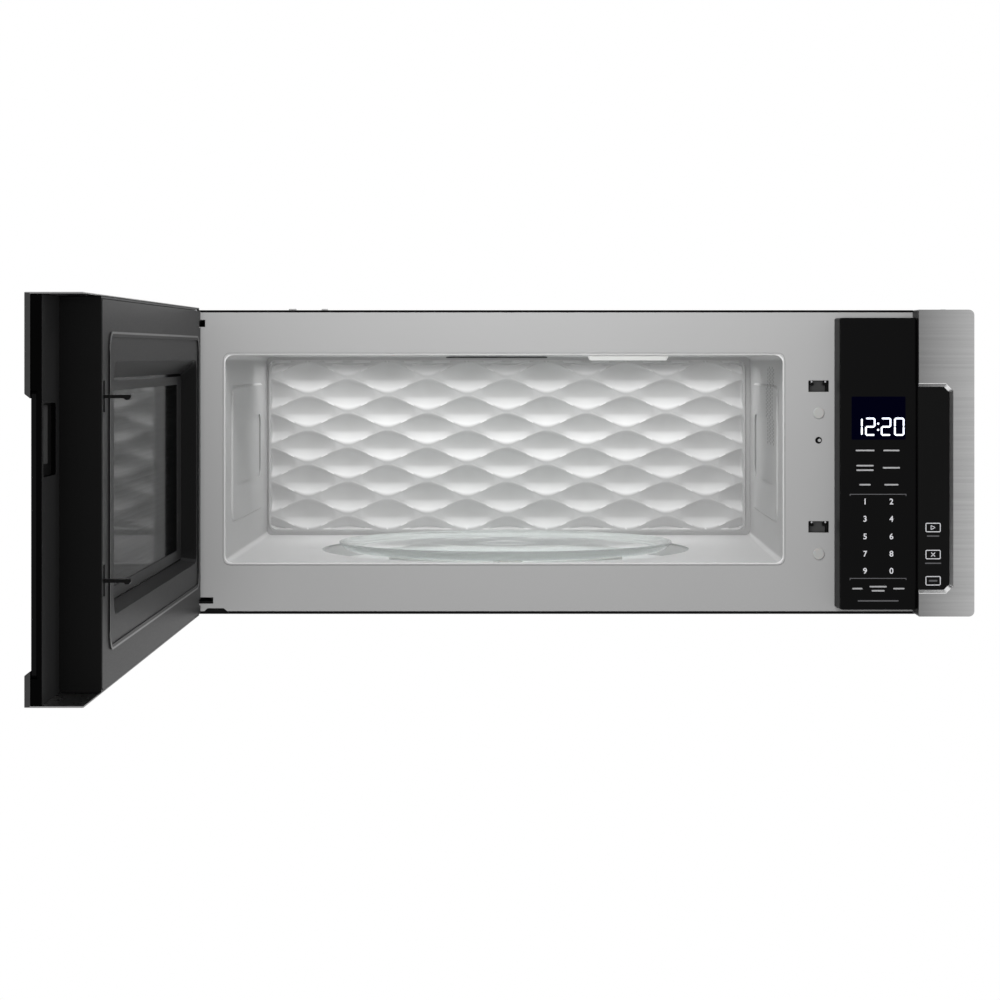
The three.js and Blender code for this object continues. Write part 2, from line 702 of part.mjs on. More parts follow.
function cavityLampCover() {
  const z = ceilingAt(cavityLampY[1]) - GAP;
  const top = ringZ(rounded(cavityLampX, cavityLampY, 5), z);
  const face = rounded(grown(cavityLampX, -2), grown(cavityLampY, -2), 4);
  const low = ringZ(face, z - CAVITY_LAMP_DROP);
  return loft([low, top]);
}
add("cavity_lamp_cover", cavityLampCover(), palePlastic);

function cavityLamp() {
  const z = CAVITY_Z1 + CAVITY_T + GAP;
  const board = block(grown(cavityLampX, -8), grown(cavityLampY, -8), [z, z + 2]);
  const socket = block(grown(cavityLampX, -26), grown(cavityLampY, -12), [z, z + 12]);
  return board.add(socket);
}
add("cavity_lamp", cavityLamp(), palePlastic);

// ---------------------------------------------------------------- quilted rear wall

// One diamond dimple as a cutting tool. Its outline has round upper and lower tips. Its floor
// falls from the outline to a level crease, which is deepest in the middle.
function dimple(x, z, halfW, halfH, y) {
  const shares = [-1, -0.6, -0.2, 0.2, 0.6, 1];
  const soft = 0.16;
  const fall = (t) => (Math.hypot(t, soft) - soft) / (Math.hypot(1, soft) - soft);
  const rim = (t, side, depth) =>
    new THREE.Vector3(x + t * halfW, depth, z + side * halfH * (1 - fall(t)));
  const lower = shares.map((t) => [t, -1]);
  const upper = shares.slice(1, -1).reverse().map((t) => [t, 1]);
  const loop = [...lower, ...upper];
  const count = loop.length;
  const vertices = [
    ...loop.map(([t, side]) => rim(t, side, y - CUT)),
    ...loop.map(([t, side]) => rim(t, side, y)),
    ...shares.slice(1, -1).map((t) => {
      const depth = QUILT_DEPTH * Math.pow(1 - Math.abs(t), 0.75);
      return new THREE.Vector3(x + 0.9 * t * halfW, y + depth, z);
    }),
  ];
  const index = [];
  for (let i = 1; i + 1 < count; i += 1) index.push(0, i, i + 1);
  for (let i = 0; i < count; i += 1) {
    const next = (i + 1) % count;
    index.push(i, count + i, next, next, count + i, count + next);
  }
  const half = shares.length - 1;
  const crease = (k) => {
    if (k === 0) return count;
    if (k === half) return count + half;
    return 2 * count + k - 1;
  };
  const rimAt = (k, upperSide) => {
    if (!upperSide || k === 0 || k === half) return count + k;
    return 2 * count - k;
  };
  for (let k = 0; k < half; k += 1) {
    for (const upperSide of [false, true]) {
      const [a, b] = [rimAt(k, upperSide), rimAt(k + 1, upperSide)];
      const [c, d] = [crease(k), crease(k + 1)];
      const faces = [];
      if (b !== d) faces.push([a, d, b]);
      if (a !== c) faces.push([a, c, d]);
      for (const [p, q, r] of faces) index.push(...(upperSide ? [p, r, q] : [p, q, r]));
    }
  }
  const geometry = new THREE.BufferGeometry().setFromPoints(vertices);
  geometry.setIndex(index);
  return solid(geometry);
}

const backFlangeY = [CAVITY_BACK + GAP, CAVITY_BACK + GAP + CAVITY_T];
const quiltX = [CAVITY_X0 + QUILT_MARGIN_X, CAVITY_X1 - QUILT_MARGIN_X];
const quiltZ = [CAVITY_Z0 + QUILT_MARGIN_Z, CAVITY_Z1 - QUILT_MARGIN_Z];
const quiltFront = backFlangeY[0] - QUILT_STEP;

function cavityBackPanel() {
  const flange = slabY(cavitySection(CAVITY_BACK, BACK_FLANGE), backFlangeY);
  const pressY = [quiltFront, quiltFront + QUILT_DEPTH + QUILT_BASE];
  const raised = loft([
    ringY(rounded(grown(quiltX, -1), grown(quiltZ, -1), QUILT_R - 1), pressY[0]),
    ringY(rounded(quiltX, quiltZ, QUILT_R), pressY[0] + 1),
    ringY(rounded(quiltX, quiltZ, QUILT_R), pressY[1]),
  ]);
  const pitch = (quiltX[1] - quiltX[0]) / QUILT_COLUMNS;
  const row = (quiltZ[1] - quiltZ[0]) / QUILT_ROWS;
  const halfW = pitch / 2 - QUILT_LAND;
  const halfH = row - QUILT_NECK / 2;
  const field = slabY(
    rounded(grown(quiltX, -QUILT_BORDER), grown(quiltZ, -QUILT_BORDER), QUILT_R - QUILT_BORDER),
    [quiltFront - CUT, pressY[1]],
  );
  const dimples = [];
  for (let level = 0; level <= QUILT_ROWS; level += 1) {
    const shifted = level % 2 === 1;
    for (let column = 0; column <= QUILT_COLUMNS - (shifted ? 1 : 0); column += 1) {
      const x = quiltX[0] + pitch * (column + (shifted ? 0.5 : 0));
      dimples.push(dimple(x, quiltZ[1] - row * level, halfW, halfH, quiltFront));
    }
  }
  return flange.add(raised).subtract(joined(...dimples).intersect(field));
}
add("cavity_back", cavityBackPanel(), whiteEnamel);

// ---------------------------------------------------------------- turntable

const trayGroup = new THREE.Group();
trayGroup.position.set(TURN_X, TURN_Y, 0);
part.add(trayGroup);

// Glass tray: flat floor, upturned edge with a rolled rim, and three lugs that take the hub.
function glassTray() {
  const top = TRAY_Z + TRAY_T;
  const profile = [
    [0, TRAY_Z],
    [TRAY_R - 17, TRAY_Z],
    [TRAY_R - 9, TRAY_Z + 1.6],
    [TRAY_R - 1.4, top + TRAY_RIM - 4.4],
    [TRAY_R, top + TRAY_RIM - 2.2],
    [TRAY_R - 1.4, top + TRAY_RIM],
    [TRAY_R - 4, top + TRAY_RIM - 0.4],
    [TRAY_R - 10, top + 1],
    [TRAY_R - 18, top],
    [0, top],
  ].map(([r, z]) => new THREE.Vector2(r, z));
  return solid(new THREE.LatheGeometry(profile, 44).rotateX(Math.PI / 2));
}
add("glass_tray", glassTray(), clearGlass, trayGroup);

// Three-lobed hub under the tray on the motor's drive stub.
const hubZ = [RECESS_Z + GAP, TRAY_Z - GAP];
const stubZ = [RECESS_Z - CAVITY_T - GAP - TURN_MOTOR_H / 2, RECESS_Z + GAP];

function turntableHub() {
  const core = rodZ([0, 0], HUB_R * 0.5, hubZ, 18);
  const lobes = [0, 1, 2].map((i) => {
    const lobe = new THREE.BoxGeometry(HUB_R, 8, hubZ[1] - hubZ[0]);
    lobe.translate(HUB_R / 2, 0, (hubZ[0] + hubZ[1]) / 2).rotateZ((i * 2 * Math.PI) / 3);
    return solid(lobe);
  });
  return joined(core, ...lobes, rodZ([0, 0], SHAFT_R, [stubZ[0], hubZ[1]], 12));
}
add("turntable_hub", turntableHub(), palePlastic, trayGroup);

const ringGroup = new THREE.Group();
ringGroup.position.set(TURN_X, TURN_Y, 0);
part.add(ringGroup);
const rollerZ = RECESS_Z + GAP + ROLLER_R;
const rollerFrom = RING_R + RING_W / 2 + 1;
const rollerAngle = (i) => Math.PI / 6 + (i * 2 * Math.PI) / 3;

// Flat ring with three pins for the rollers, each with a stop at its end.
function rollerRing() {
  const z = around(rollerZ, RING_T);
  const outer = rodZ([0, 0], RING_R + RING_W / 2, z, 30);
  const inner = rodZ([0, 0], RING_R - RING_W / 2, grown(z, CUT), 30);
  const pins = [0, 1, 2].map((i) => {
    const pin = rodX([0, rollerZ], ROLLER_PIN, [RING_R, rollerFrom + ROLLER_W + 2], 8);
    const stopX = [rollerFrom + ROLLER_W + 1, rollerFrom + ROLLER_W + 2.5];
    const stop = rodX([0, rollerZ], 3.2, stopX, 8);
    return pin.add(stop).rotate([0, 0, THREE.MathUtils.radToDeg(rollerAngle(i))]);
  });
  return joined(outer.subtract(inner), ...pins);
}
add("roller_ring", rollerRing(), palePlastic, ringGroup);

function roller() {
  const x = [rollerFrom, rollerFrom + ROLLER_W];
  const wheel = rodX([0, rollerZ], ROLLER_R, x, 20);
  return wheel.subtract(rodX([0, rollerZ], ROLLER_BORE, grown(x, CUT), 10));
}
for (const i of [0, 1, 2]) {
  const mesh = add(`roller_${i + 1}`, roller(), palePlastic, ringGroup);
  mesh.rotation.z = rollerAngle(i);
}

function turntableMotor() {
  const top = RECESS_Z - CAVITY_T - GAP;
  const z = [top - TURN_MOTOR_H, top];
  const can = rodZ([TURN_X, TURN_Y], TURN_MOTOR_R, z, 28);
  const ears = block(around(TURN_X, 2 * TURN_MOTOR_R + 18), around(TURN_Y, 12), [top - 1, top]);
  const bore = rodZ([TURN_X, TURN_Y], SHAFT_R + SHAFT_CLEARANCE, [stubZ[0] - 1, top + CUT], 16);
  return cutBy(can.add(ears), bore);
}
add("turntable_motor", turntableMotor(), plainSteel);

// ---------------------------------------------------------------- keypad and end strip

const keypadZ = [BOTTOM + KEYPAD_BOTTOM_INSET, TOP - KEYPAD_TOP_INSET];
const keypadFront = FRONT - KEYPAD_D;
const KEY_GLASS_T = 2;
const housingY = [keypadFront + KEY_GLASS_T + GAP, FRONT - GAP];
const DISPLAY_W = 50;
const DISPLAY_H = 40;
const DISPLAY_Z = 41.9;
const displayX = around((KEYPAD_LEFT + KEYPAD_RIGHT) / 2 + 1.4, DISPLAY_W);
const displayZ = around(DISPLAY_Z, DISPLAY_H);
const DISPLAY_T = 9;

// Moulded box with a slanted left wall, open at the back.
function keypadHousing() {
  const section = (y, by) => {
    const slant = (KEYPAD_SLANT * (FRONT - GAP - y)) / KEYPAD_D;
    const x = grown([KEYPAD_LEFT + slant, KEYPAD_RIGHT], by);
    return ringY(rounded(x, grown(keypadZ, by), 2), y, 3);
  };
  const hollow = -KEYPAD_WALL;
  const shell = loft([section(housingY[0], 0), section(housingY[1], 0)]);
  const room = loft([
    section(housingY[0] + KEYPAD_WALL, hollow),
    section(housingY[1] + CUT, hollow),
  ]);
  const through = [housingY[0] - CUT, housingY[1]];
  const window = block(grown(displayX, GAP), through, grown(displayZ, GAP));
  return cutBy(shell, room, window);
}
add("keypad_housing", keypadHousing(), blackPlastic);

function keypadGlass() {
  const x = [KEYPAD_LEFT + KEYPAD_SLANT, KEYPAD_RIGHT];
  return slabY(rounded(x, keypadZ, 2), [keypadFront, keypadFront + KEY_GLASS_T]);
}
add("keypad_glass", keypadGlass(), blackGlass);

const displayY = [housingY[0], housingY[0] + DISPLAY_T];
add("display_module", block(displayX, displayY, displayZ), finish(0x04040c, 0.2, 0));

function controlBoard() {
  const y = [displayY[1] + GAP, displayY[1] + GAP + 1.6];
  const x = [KEYPAD_LEFT + KEYPAD_SLANT + KEYPAD_WALL + 2, KEYPAD_RIGHT - KEYPAD_WALL - 2];
  const board = block(x, y, grown(keypadZ, -12));
  const relays = [-20, -48, -76].map((z) =>
    block(around((x[0] + x[1]) / 2, 18), [y[0], y[1] + 12], around(z, 16)),
  );
  return joined(board, ...relays);
}
add("control_board", controlBoard(), greenBoard);

// The sunk band that runs from the door's glass across the end strip.
const bandZ = [DOOR_BOTTOM + BAND_BOTTOM, DOOR_TOP - BAND_TOP];
const bandX = [DOOR_LEFT + BAND_LEFT, STRIP_LEFT + 32];
const sunkY = DOOR_OUTER + GLASS_SINK;

// The band's outline with cut corners, drawn in by a distance.
function bandOutline(inset) {
  const [x0, x1] = grown(bandX, -inset);
  const [z0, z1] = grown(bandZ, -inset);
  const corner = BAND_CORNER - inset * 0.4;
  return outline([
    [x0 + corner, z0],
    [x1 - corner, z0],
    [x1, z0 + corner],
    [x1, z1 - corner],
    [x1 - corner, z1],
    [x0 + corner, z1],
    [x0, z1 - corner],
    [x0, z0 + corner],
  ]);
}

// A face sheet's share of the band, sunk with a bevelled lip, between two places along X.
function sunkBand(face, [x0, x1]) {
  const end = sunkY - GAP;
  const opening = loft([
    ringY(bandOutline(-BAND_BEVEL / GLASS_SINK), DOOR_OUTER - CUT),
    ringY(bandOutline(BAND_BEVEL), end + CUT / 10),
  ]);
  const lip = loft([
    ringY(bandOutline(-SKIN_T), DOOR_OUTER),
    ringY(bandOutline(BAND_BEVEL - SKIN_T), end),
  ]).intersect(block([x0, x1], [DOOR_OUTER, end], bandZ.map((z) => z * 2)));
  return face.add(lip).subtract(opening);
}

const stripZ = [BOTTOM + 1.4, TOP - 0.1];
const STRIP_CORNER = 5;

function stripSection(by) {
  const x0 = STRIP_LEFT - by;
  const x1 = RIGHT + by;
  const [z0, z1] = grown(stripZ, by);
  const r = STRIP_CORNER + by;
  const shape = new THREE.Shape();
  shape.moveTo(x0, z0);
  shape.lineTo(x1 - r, z0);
  shape.absarc(x1 - r, z0 + r, r, 1.5 * Math.PI, 2 * Math.PI);
  shape.absarc(x1 - r, z1 - r, r, 0, 0.5 * Math.PI);
  shape.lineTo(x0, z1);
  return shape;
}

// Steel face with returns on the right, above and below. Its left side is open.
function endTrim() {
  const y = [DOOR_OUTER, FRONT - GAP];
  const skin = slabY(stripSection(0), y);
  const inner = slabY(stripSection(-SKIN_T), [DOOR_OUTER + SKIN_T, y[1] + CUT]);
  const openY = [DOOR_OUTER + SKIN_T, y[1] + CUT];
  const side = block([STRIP_LEFT - CUT, STRIP_LEFT + 2 * SKIN_T], openY, grown(stripZ, -SKIN_T));
  return sunkBand(cutBy(skin, inner, side), [STRIP_LEFT, RIGHT]);
}
add("end_trim", endTrim(), brushedSteel);

// Black moulding behind the trim: the strip's left wall and the sunk touch surface.
function touchPocket() {
  const floorY = [sunkY, sunkY + 2.5];
  const wallY = [DOOR_OUTER + SKIN_T + GAP, FRONT - GAP];
  const z = grown(stripZ, -SKIN_T - GAP);
  const x = [STRIP_LEFT, STRIP_LEFT + 1.6];
  const floor = block([x[0], bandX[1] - 1], floorY, bandZ);
  const wall = block(x, wallY, z);
  const ribs = [z[0], z[1] - 2].map((low) =>
    block([x[0], RIGHT - SKIN_T - STRIP_CORNER], [FRONT - GAP - 6, FRONT - GAP], [low, low + 2]),
  );
  const step = block(grown(x, CUT), [wallY[0] - CUT, floorY[0]], grown(bandZ, SKIN_T + GAP));
  return joined(cutBy(wall, step), floor, ...ribs);
}
add("touch_pocket", touchPocket(), blackPlastic);

// ---------------------------------------------------------------- latch keeper

const KEEPER_W = 26;
const KEEPER_D = 27;
const KEEPER_BACK = 3;
const KEEPER_ROOM_H = 20.7;
const keeperX = around(LATCH_X - 1, KEEPER_W);
const keeperY = [PLATE_BACK + GAP, PLATE_BACK + GAP + KEEPER_D];
const keeperZ = [Math.min(...LATCH_Z) - 22, Math.max(...LATCH_Z) + 20];

// Upright moulding behind the slots, with a pocket and a catch step for each hook.
function latchKeeper() {
  const body = slabX(rounded(keeperY, keeperZ, 3), keeperX);
  const pocketX = around(LATCH_X, LATCH_SLOT_W - 2);
  const pocketY = [keeperY[0] - CUT, keeperY[1] - KEEPER_BACK];
  const pockets = LATCH_Z.map((z) => block(pocketX, pocketY, around(z, KEEPER_ROOM_H)));
  return cutBy(body, ...pockets);
}
add("latch_keeper", latchKeeper(), blackPlastic);

// Door switches on the keeper's side, each with its row of terminals.
function doorSwitch(z) {
  const x = [keeperX[1] + GAP, keeperX[1] + GAP + 10.5];
  const body = block(x, [keeperY[0] + 4, keeperY[0] + 24], around(z, 28));
  const tabs = [-9, 0, 9].map((step) =>
    block([x[0] + 4, x[0] + 5], [keeperY[0] + 23, keeperY[0] + 31], around(z + step, 5)),
  );
  return joined(body, ...tabs);
}
add("door_switch_upper", doorSwitch(LATCH_Z[0]), blackPlastic);
add("door_switch_lower", doorSwitch(LATCH_Z[1]), blackPlastic);

// ---------------------------------------------------------------- power parts

const magnetronX = around(antenna[0], MAGNETRON_W);
const magnetronTop = waveguideZ[0] - GAP;
const MAGNETRON_H = 92;

// Anode block between cooling fins in an open steel frame, with the filter box below and the
// antenna standing up into the duct.
function magnetron() {
  const y = around(antenna[1], 66);
  const filterTop = magnetronTop - MAGNETRON_H + 30;
  const topPlate = block(magnetronX, y, [magnetronTop - 2, magnetronTop]);
  const midPlate = block(magnetronX, y, [filterTop, filterTop + 2]);
  const cheeks = [y[0], y[1] - 1.5].map((low) =>
    block(magnetronX, [low, low + 1.5], [filterTop, magnetronTop]),
  );
  const anode = rodZ(antenna, 19, [filterTop, magnetronTop], 12);
  const pitch = (magnetronTop - filterTop - 14) / (MAGNETRON_FINS - 1);
  const fins = Array.from({ length: MAGNETRON_FINS }, (_, i) => {
    const z = filterTop + 7 + i * pitch;
    return block(grown(magnetronX, -6), y, around(z, 0.8));
  });
  const boxZ = [magnetronTop - MAGNETRON_H, filterTop + 1];
  const filterBox = block(grown(magnetronX, -10), grown(y, -4), boxZ);
  const stem = rodZ(antenna, 7, [magnetronTop - 1, magnetronTop + 20], 16);
  return joined(topPlate, midPlate, ...cheeks, anode, ...fins, filterBox, stem);
}
add("magnetron", magnetron(), plainSteel);

const baseTop = BOTTOM + SHEET + GAP;

// Laminated core round a winding, on a foot plate.
function transformer() {
  const y = [FRONT + 44, FRONT + 124];
  const foot = block(grown(powerX, -2), y, [baseTop, baseTop + 2]);
  const core = block(grown(powerX, -8), grown(y, -16), [baseTop + 1, baseTop + 66]);
  const coil = slabZ(
    rounded(grown(powerX, -20), grown(y, -4), 14),
    [baseTop + 16, baseTop + 50],
  );
  return joined(foot, core, coil);
}
add("transformer", transformer(), copper);

function capacitor() {
  const x = [powerX[1] + 8, powerX[1] + 42];
  const y = [FRONT + 44, FRONT + 128];
  const can = slabY(rounded(x, [baseTop, baseTop + 52], 15), y);
  const posts = [-9, 9].map((dx) =>
    rodY([(x[0] + x[1]) / 2 + dx, baseTop + 26], 3, [y[1] - 1, y[1] + 10], 10),
  );
  return joined(can, ...posts);
}
add("capacitor", capacitor(), plainSteel);

// Cooling fan: a square ring with a centre motor on four struts.
const fanPlace = [antenna[0], magnetronTop - 52];
const fanY = [waveguideY[1] + 3, waveguideY[1] + 19];
const FAN_TIP_GAP = 2;
const FAN_HUB_R = 14;

function fanFrame() {
  const half = FAN_R + FAN_TIP_GAP + 3;
  const square = rounded(around(fanPlace[0], 2 * half), around(fanPlace[1], 2 * half), 6);
  const frame = slabY(square, fanY).subtract(
    rodY(fanPlace, FAN_R + FAN_TIP_GAP, grown(fanY, CUT), 24),
  );
  const motorY = [fanY[1] - 6, fanY[1] + 10];
  const motor = rodY(fanPlace, FAN_HUB_R + 2, motorY, 20);
  const reach = 2 * half - 4;
  const strutY = [fanY[1] - 3, fanY[1]];
  const struts = [
    block(around(fanPlace[0], reach), strutY, around(fanPlace[1], 6)),
    block(around(fanPlace[0], 6), strutY, around(fanPlace[1], reach)),
  ];
  const bore = rodY(fanPlace, 2.5, [motorY[0] - CUT, motorY[1] - 4], 12);
  return joined(frame, motor, ...struts).subtract(bore);
}
add("fan_frame", fanFrame(), blackPlastic);

function fanBlades() {
  const y = [fanY[0] - 1, fanY[1] - 7];
  const depth = y[1] - y[0];
  const blades = Array.from({ length: FAN_BLADES }, (_, i) => {
    const blade = new THREE.BoxGeometry(FAN_R - FAN_HUB_R + 3, 1.6, 30);
    blade.rotateX(THREE.MathUtils.degToRad(-66));
    blade.translate((FAN_R + FAN_HUB_R - 3) / 2, 0, 0);
    blade.rotateY((i * 2 * Math.PI) / FAN_BLADES);
    return solid(blade.translate(fanPlace[0], (y[0] + y[1]) / 2, fanPlace[1]));
  });
  const sweep = rodY(fanPlace, FAN_R, y, 30);
  const hub = rodY(fanPlace, FAN_HUB_R, y, 20);
  const spindle = rodY(fanPlace, 2, [y[0], y[1] + 12], 8);
  return joined(hub, ...blades.map((blade) => blade.intersect(sweep)), spindle);
}
add("fan_blades", fanBlades(), greyPlastic);

// ---------------------------------------------------------------- hood blower

const blowerCentre = [REAR_FRONT - GAP - BLOWER_R - 12, BOTTOM + 150];
const blowerX = [CAVITY_X1 + 10, INNER_RIGHT - SHEET - 4];
const SCROLL_T = 1.6;
const scrollTop = TOP - SHEET - 6;
const scrollX = [
  [blowerX[0], blowerX[0] + BLOWER_W],
  [blowerX[1] - BLOWER_W, blowerX[1]],
];
const SCROLL_ROOM = 6;
const SPINDLE_R = 4;
const INLET_R = BLOWER_R - 8;

// A scroll housing round one wheel: round inlets at both sides and a square outlet upwards.
function blowerScroll([x0, x1]) {
  const [y, z] = blowerCentre;
  const volute = (r) => {
    const shape = new THREE.Shape();
    const front = y - r - SCROLL_ROOM;
    shape.moveTo(front, scrollTop + (r - BLOWER_R) * 4);
    shape.lineTo(front, z);
    shape.absarc(y, z, r + SCROLL_ROOM, Math.PI, 2 * Math.PI);
    shape.lineTo(y + r + SCROLL_ROOM, z + r * 0.4);
    shape.lineTo(y + r * 0.55, z + r * 0.95);
    shape.lineTo(y + r * 0.55, scrollTop + (r - BLOWER_R) * 4);
    return shape;
  };
  const shell = slabX(volute(BLOWER_R), [x0, x1], 5).intersect(
    block([x0, x1], grown([y, y], 3 * BLOWER_R), [z - 3 * BLOWER_R, scrollTop]),
  );
  const room = slabX(volute(BLOWER_R - SCROLL_T + CUT / 2), [x0 + SCROLL_T, x1 - SCROLL_T], 5);
  const inlets = rodX(blowerCentre, INLET_R, [x0 - CUT, x1 + CUT], 20);
  return cutBy(shell, room.add(block(
    [x0 + SCROLL_T, x1 - SCROLL_T],
    [y - BLOWER_R - SCROLL_ROOM + SCROLL_T, y + BLOWER_R * 0.55 - SCROLL_T],
    [z + BLOWER_R, scrollTop + CUT],
  )), inlets);
}
add("blower_scroll_left", blowerScroll(scrollX[0]), plainSteel);
add("blower_scroll_right", blowerScroll(scrollX[1]), plainSteel);

// Motor between the two scrolls, with a wide cap against each of them.
const blowerMotorX = [scrollX[0][1] + GAP, scrollX[1][0] - GAP];

function blowerMotor() {
  const can = rodX(blowerCentre, INLET_R - 2, grown(blowerMotorX, -1), 20);
  const caps = rodX(blowerCentre, INLET_R + 4, grown(blowerMotorX, 0), 20).subtract(
    rodX(blowerCentre, INLET_R + 5, grown(blowerMotorX, -2), 20),
  );
  return joined(can, caps).subtract(
    rodX(blowerCentre, SPINDLE_R + SHAFT_CLEARANCE, grown(blowerMotorX, CUT), 14),
  );
}
add("blower_motor", blowerMotor(), plainSteel);

// One spindle with a bladed wheel at each end.
function blowerRotor() {
  const [y, z] = blowerCentre;
  const wheel = ([x0, x1]) => {
    const span = grown([x0, x1], -SCROLL_T - 4);
    const middle = (x0 + x1) / 2;
    const [ringX, discX] = middle < blowerMotorX[0] ? span : [span[1], span[0]];
    const rim = around(ringX, 2);
    const ring = rodX(blowerCentre, BLOWER_R, rim, 2 * BLOWER_BLADES).subtract(
      rodX(blowerCentre, BLOWER_R - 7, grown(rim, CUT), 2 * BLOWER_BLADES),
    );
    const disc = rodX(blowerCentre, BLOWER_R, around(discX, 2), 2 * BLOWER_BLADES);
    const blades = Array.from({ length: BLOWER_BLADES }, (_, i) => {
      const angle = (i * 2 * Math.PI) / BLOWER_BLADES;
      const blade = new THREE.BoxGeometry(span[1] - span[0], 7, 1.2);
      blade.rotateX(0.5).translate(middle, BLOWER_R - 4.5, 0).rotateX(angle);
      return solid(blade.translate(0, y, z));
    });
    return joined(disc, ring, ...blades);
  };
  const spindle = rodX(blowerCentre, SPINDLE_R, [scrollX[0][0] + 8, scrollX[1][1] - 8], 14);
  return joined(spindle, ...scrollX.map(wheel));
}
add("blower_rotor", blowerRotor(), greyPlastic);

// ---------------------------------------------------------------- hood openings

const FLAP_T = 1.2;
const FRAME_DROP = 7;
const DAMPER_AXLE_R = 1.6;
const damperTop = TOP - SHEET - GAP;
const flapZ = damperTop - 3.4;
const damperX = grown(exhaustX, 8);
const damperY = [exhaustY[0] - 8, exhaustY[1] + 7];
const damperAxleY = exhaustY[0] + 4;

// Frame under the exhaust opening, with a notch at each end for the flap's axle.
function damperFrame() {
  const z = [damperTop - FRAME_DROP, damperTop];
  const frame = slabZ(rounded(damperX, damperY, 3), z).subtract(
    slabZ(rounded(grown(exhaustX, -1.5), grown(exhaustY, -1.5), 3), grown(z, CUT)),
  );
  const axle = [damperAxleY, flapZ];
  const bearing = rodX(axle, DAMPER_AXLE_R + 0.4, grown(exhaustX, 4), 12);
  return frame.subtract(bearing);
}
add("damper_frame", damperFrame(), blackPlastic);

function damperFlap() {
  const x = grown(exhaustX, -2.4);
  const y = [damperAxleY, exhaustY[1] - 2.4];
  const sheet = block(x, y, around(flapZ, FLAP_T));
  const axle = rodX([damperAxleY, flapZ], DAMPER_AXLE_R, grown(exhaustX, 3), 12);
  return sheet.add(axle);
}
add("damper_flap", damperFlap(), plainSteel);

// Grease filters: a folded rim round a mesh panel with a pull tab, seated on the base pan.
function greaseFilter(x) {
  const z = [BOTTOM + SHEET + GAP, BOTTOM + SHEET + GAP + FILTER_T];
  const outerX = around(x, FILTER_W);
  const outerY = around(FILTER_Y, FILTER_D);
  const rim = slabZ(rounded(outerX, outerY, 4), z).subtract(
    slabZ(rounded(grown(outerX, -9), grown(outerY, -9), 3), grown(z, CUT)),
  );
  const panel = block(grown(outerX, -8), grown(outerY, -8), [z[0] + 1.5, z[1] - 1.5]);
  const columns = 7;
  const rows = 2;
  const stepX = (FILTER_W - 26) / columns;
  const stepY = (FILTER_D - 26) / rows;
  const slots = [];
  for (let i = 0; i < columns; i += 1) {
    for (let j = 0; j < rows; j += 1) {
      const cx = outerX[0] + 13 + stepX * (i + 0.5);
      const cy = outerY[0] + 13 + stepY * (j + 0.5);
      slots.push(block(around(cx, stepX * 0.5), around(cy, stepY * 0.7), grown(z, CUT)));
    }
  }
  return joined(rim, panel.subtract(joined(...slots)));
}
add("grease_filter_left", greaseFilter(filterPlaces[0]), plainSteel);
add("grease_filter_right", greaseFilter(filterPlaces[1]), plainSteel);

// Cooktop lamp lenses, which drop through the base pan and rest on their rims.
function taskLens(x) {
  const rim = slabZ(
    rounded(around(x, LAMP_W + 8), around(LAMP_Y, LAMP_D + 8), 4),
    [baseTop, baseTop + 2],
  );
  const bowl = slabZ(
    rounded(around(x, LAMP_W - 1), around(LAMP_Y, LAMP_D - 1), 3),
    [BOTTOM + GAP, baseTop + 1],
  );
  return rim.add(bowl);
}

function taskLamp(x) {
  const z = baseTop + 2 + GAP;
  const plate = block(around(x, LAMP_W + 6), around(LAMP_Y, LAMP_D + 4), [z, z + 1.6]);
  const sink = block(around(x, LAMP_W - 20), around(LAMP_Y, LAMP_D - 14), [z + 1, z + 10]);
  return plate.add(sink);
}
for (const [side, x] of [["left", lampPlaces[0]], ["right", lampPlaces[1]]]) {
  add(`task_lens_${side}`, taskLens(x), palePlastic);
  add(`task_lamp_${side}`, taskLamp(x), greenBoard);
}

// Rubber ring that lines the supply opening in the cover.
function cordGrommet() {
  const profile = [
    [CORD_HOLE_R - 4, -3],
    [CORD_HOLE_R + 3, -3],
    [CORD_HOLE_R + 3, -SHEET - GAP],
    [CORD_HOLE_R - GAP, -SHEET - GAP],
    [CORD_HOLE_R - GAP, GAP],
    [CORD_HOLE_R + 2.5, GAP],
    [CORD_HOLE_R + 2.5, 2],
    [CORD_HOLE_R - 4, 2],
    [CORD_HOLE_R - 4, -3],
  ].map(([r, z]) => new THREE.Vector2(r, z));
  const ring = new THREE.LatheGeometry(profile, 16).rotateX(Math.PI / 2);
  return solid(ring.translate(cordHole[0], cordHole[1], TOP));
}
add("cord_grommet", cordGrommet(), blackPlastic);

// ---------------------------------------------------------------- door

const hung = new THREE.Group();
hung.position.set(PIVOT_X, PIVOT_Y, 0);
hung.rotation.z = -Math.PI / 2;
const door = new THREE.Group();
door.position.set(-PIVOT_X, -PIVOT_Y, 0);
hung.add(door);
part.add(hung);

const doorX = [DOOR_LEFT, DOOR_RIGHT];
const doorZ = [DOOR_BOTTOM, DOOR_TOP];
const insideZ = grown(doorZ, -SKIN_T - GAP);
const glassY = [sunkY, sunkY + GLASS_T];
const panY = [glassY[1] + GAP, DOOR_INNER - COVER_T - GAP];
const coverY = [DOOR_INNER - COVER_T, DOOR_INNER];
const panX = [DOOR_LEFT + SKIN_T + GAP, THICK_RIGHT];
const panRim = DOOR_INNER - COVER_SUNK;

// Room for the fixed hinge arms, from the pins to the door's hinge end and inner face.
const armRoom = [1, -1].map((side) =>
  block(
    [DOOR_LEFT - CUT, PIVOT_X + HINGE_ARM_W / 2 + 2],
    [PIVOT_Y - HINGE_ARM_W / 2 - 1.5, DOOR_INNER + CUT],
    around(HINGE_Z * side, HINGE_ARM_T + 3),
  ),
);

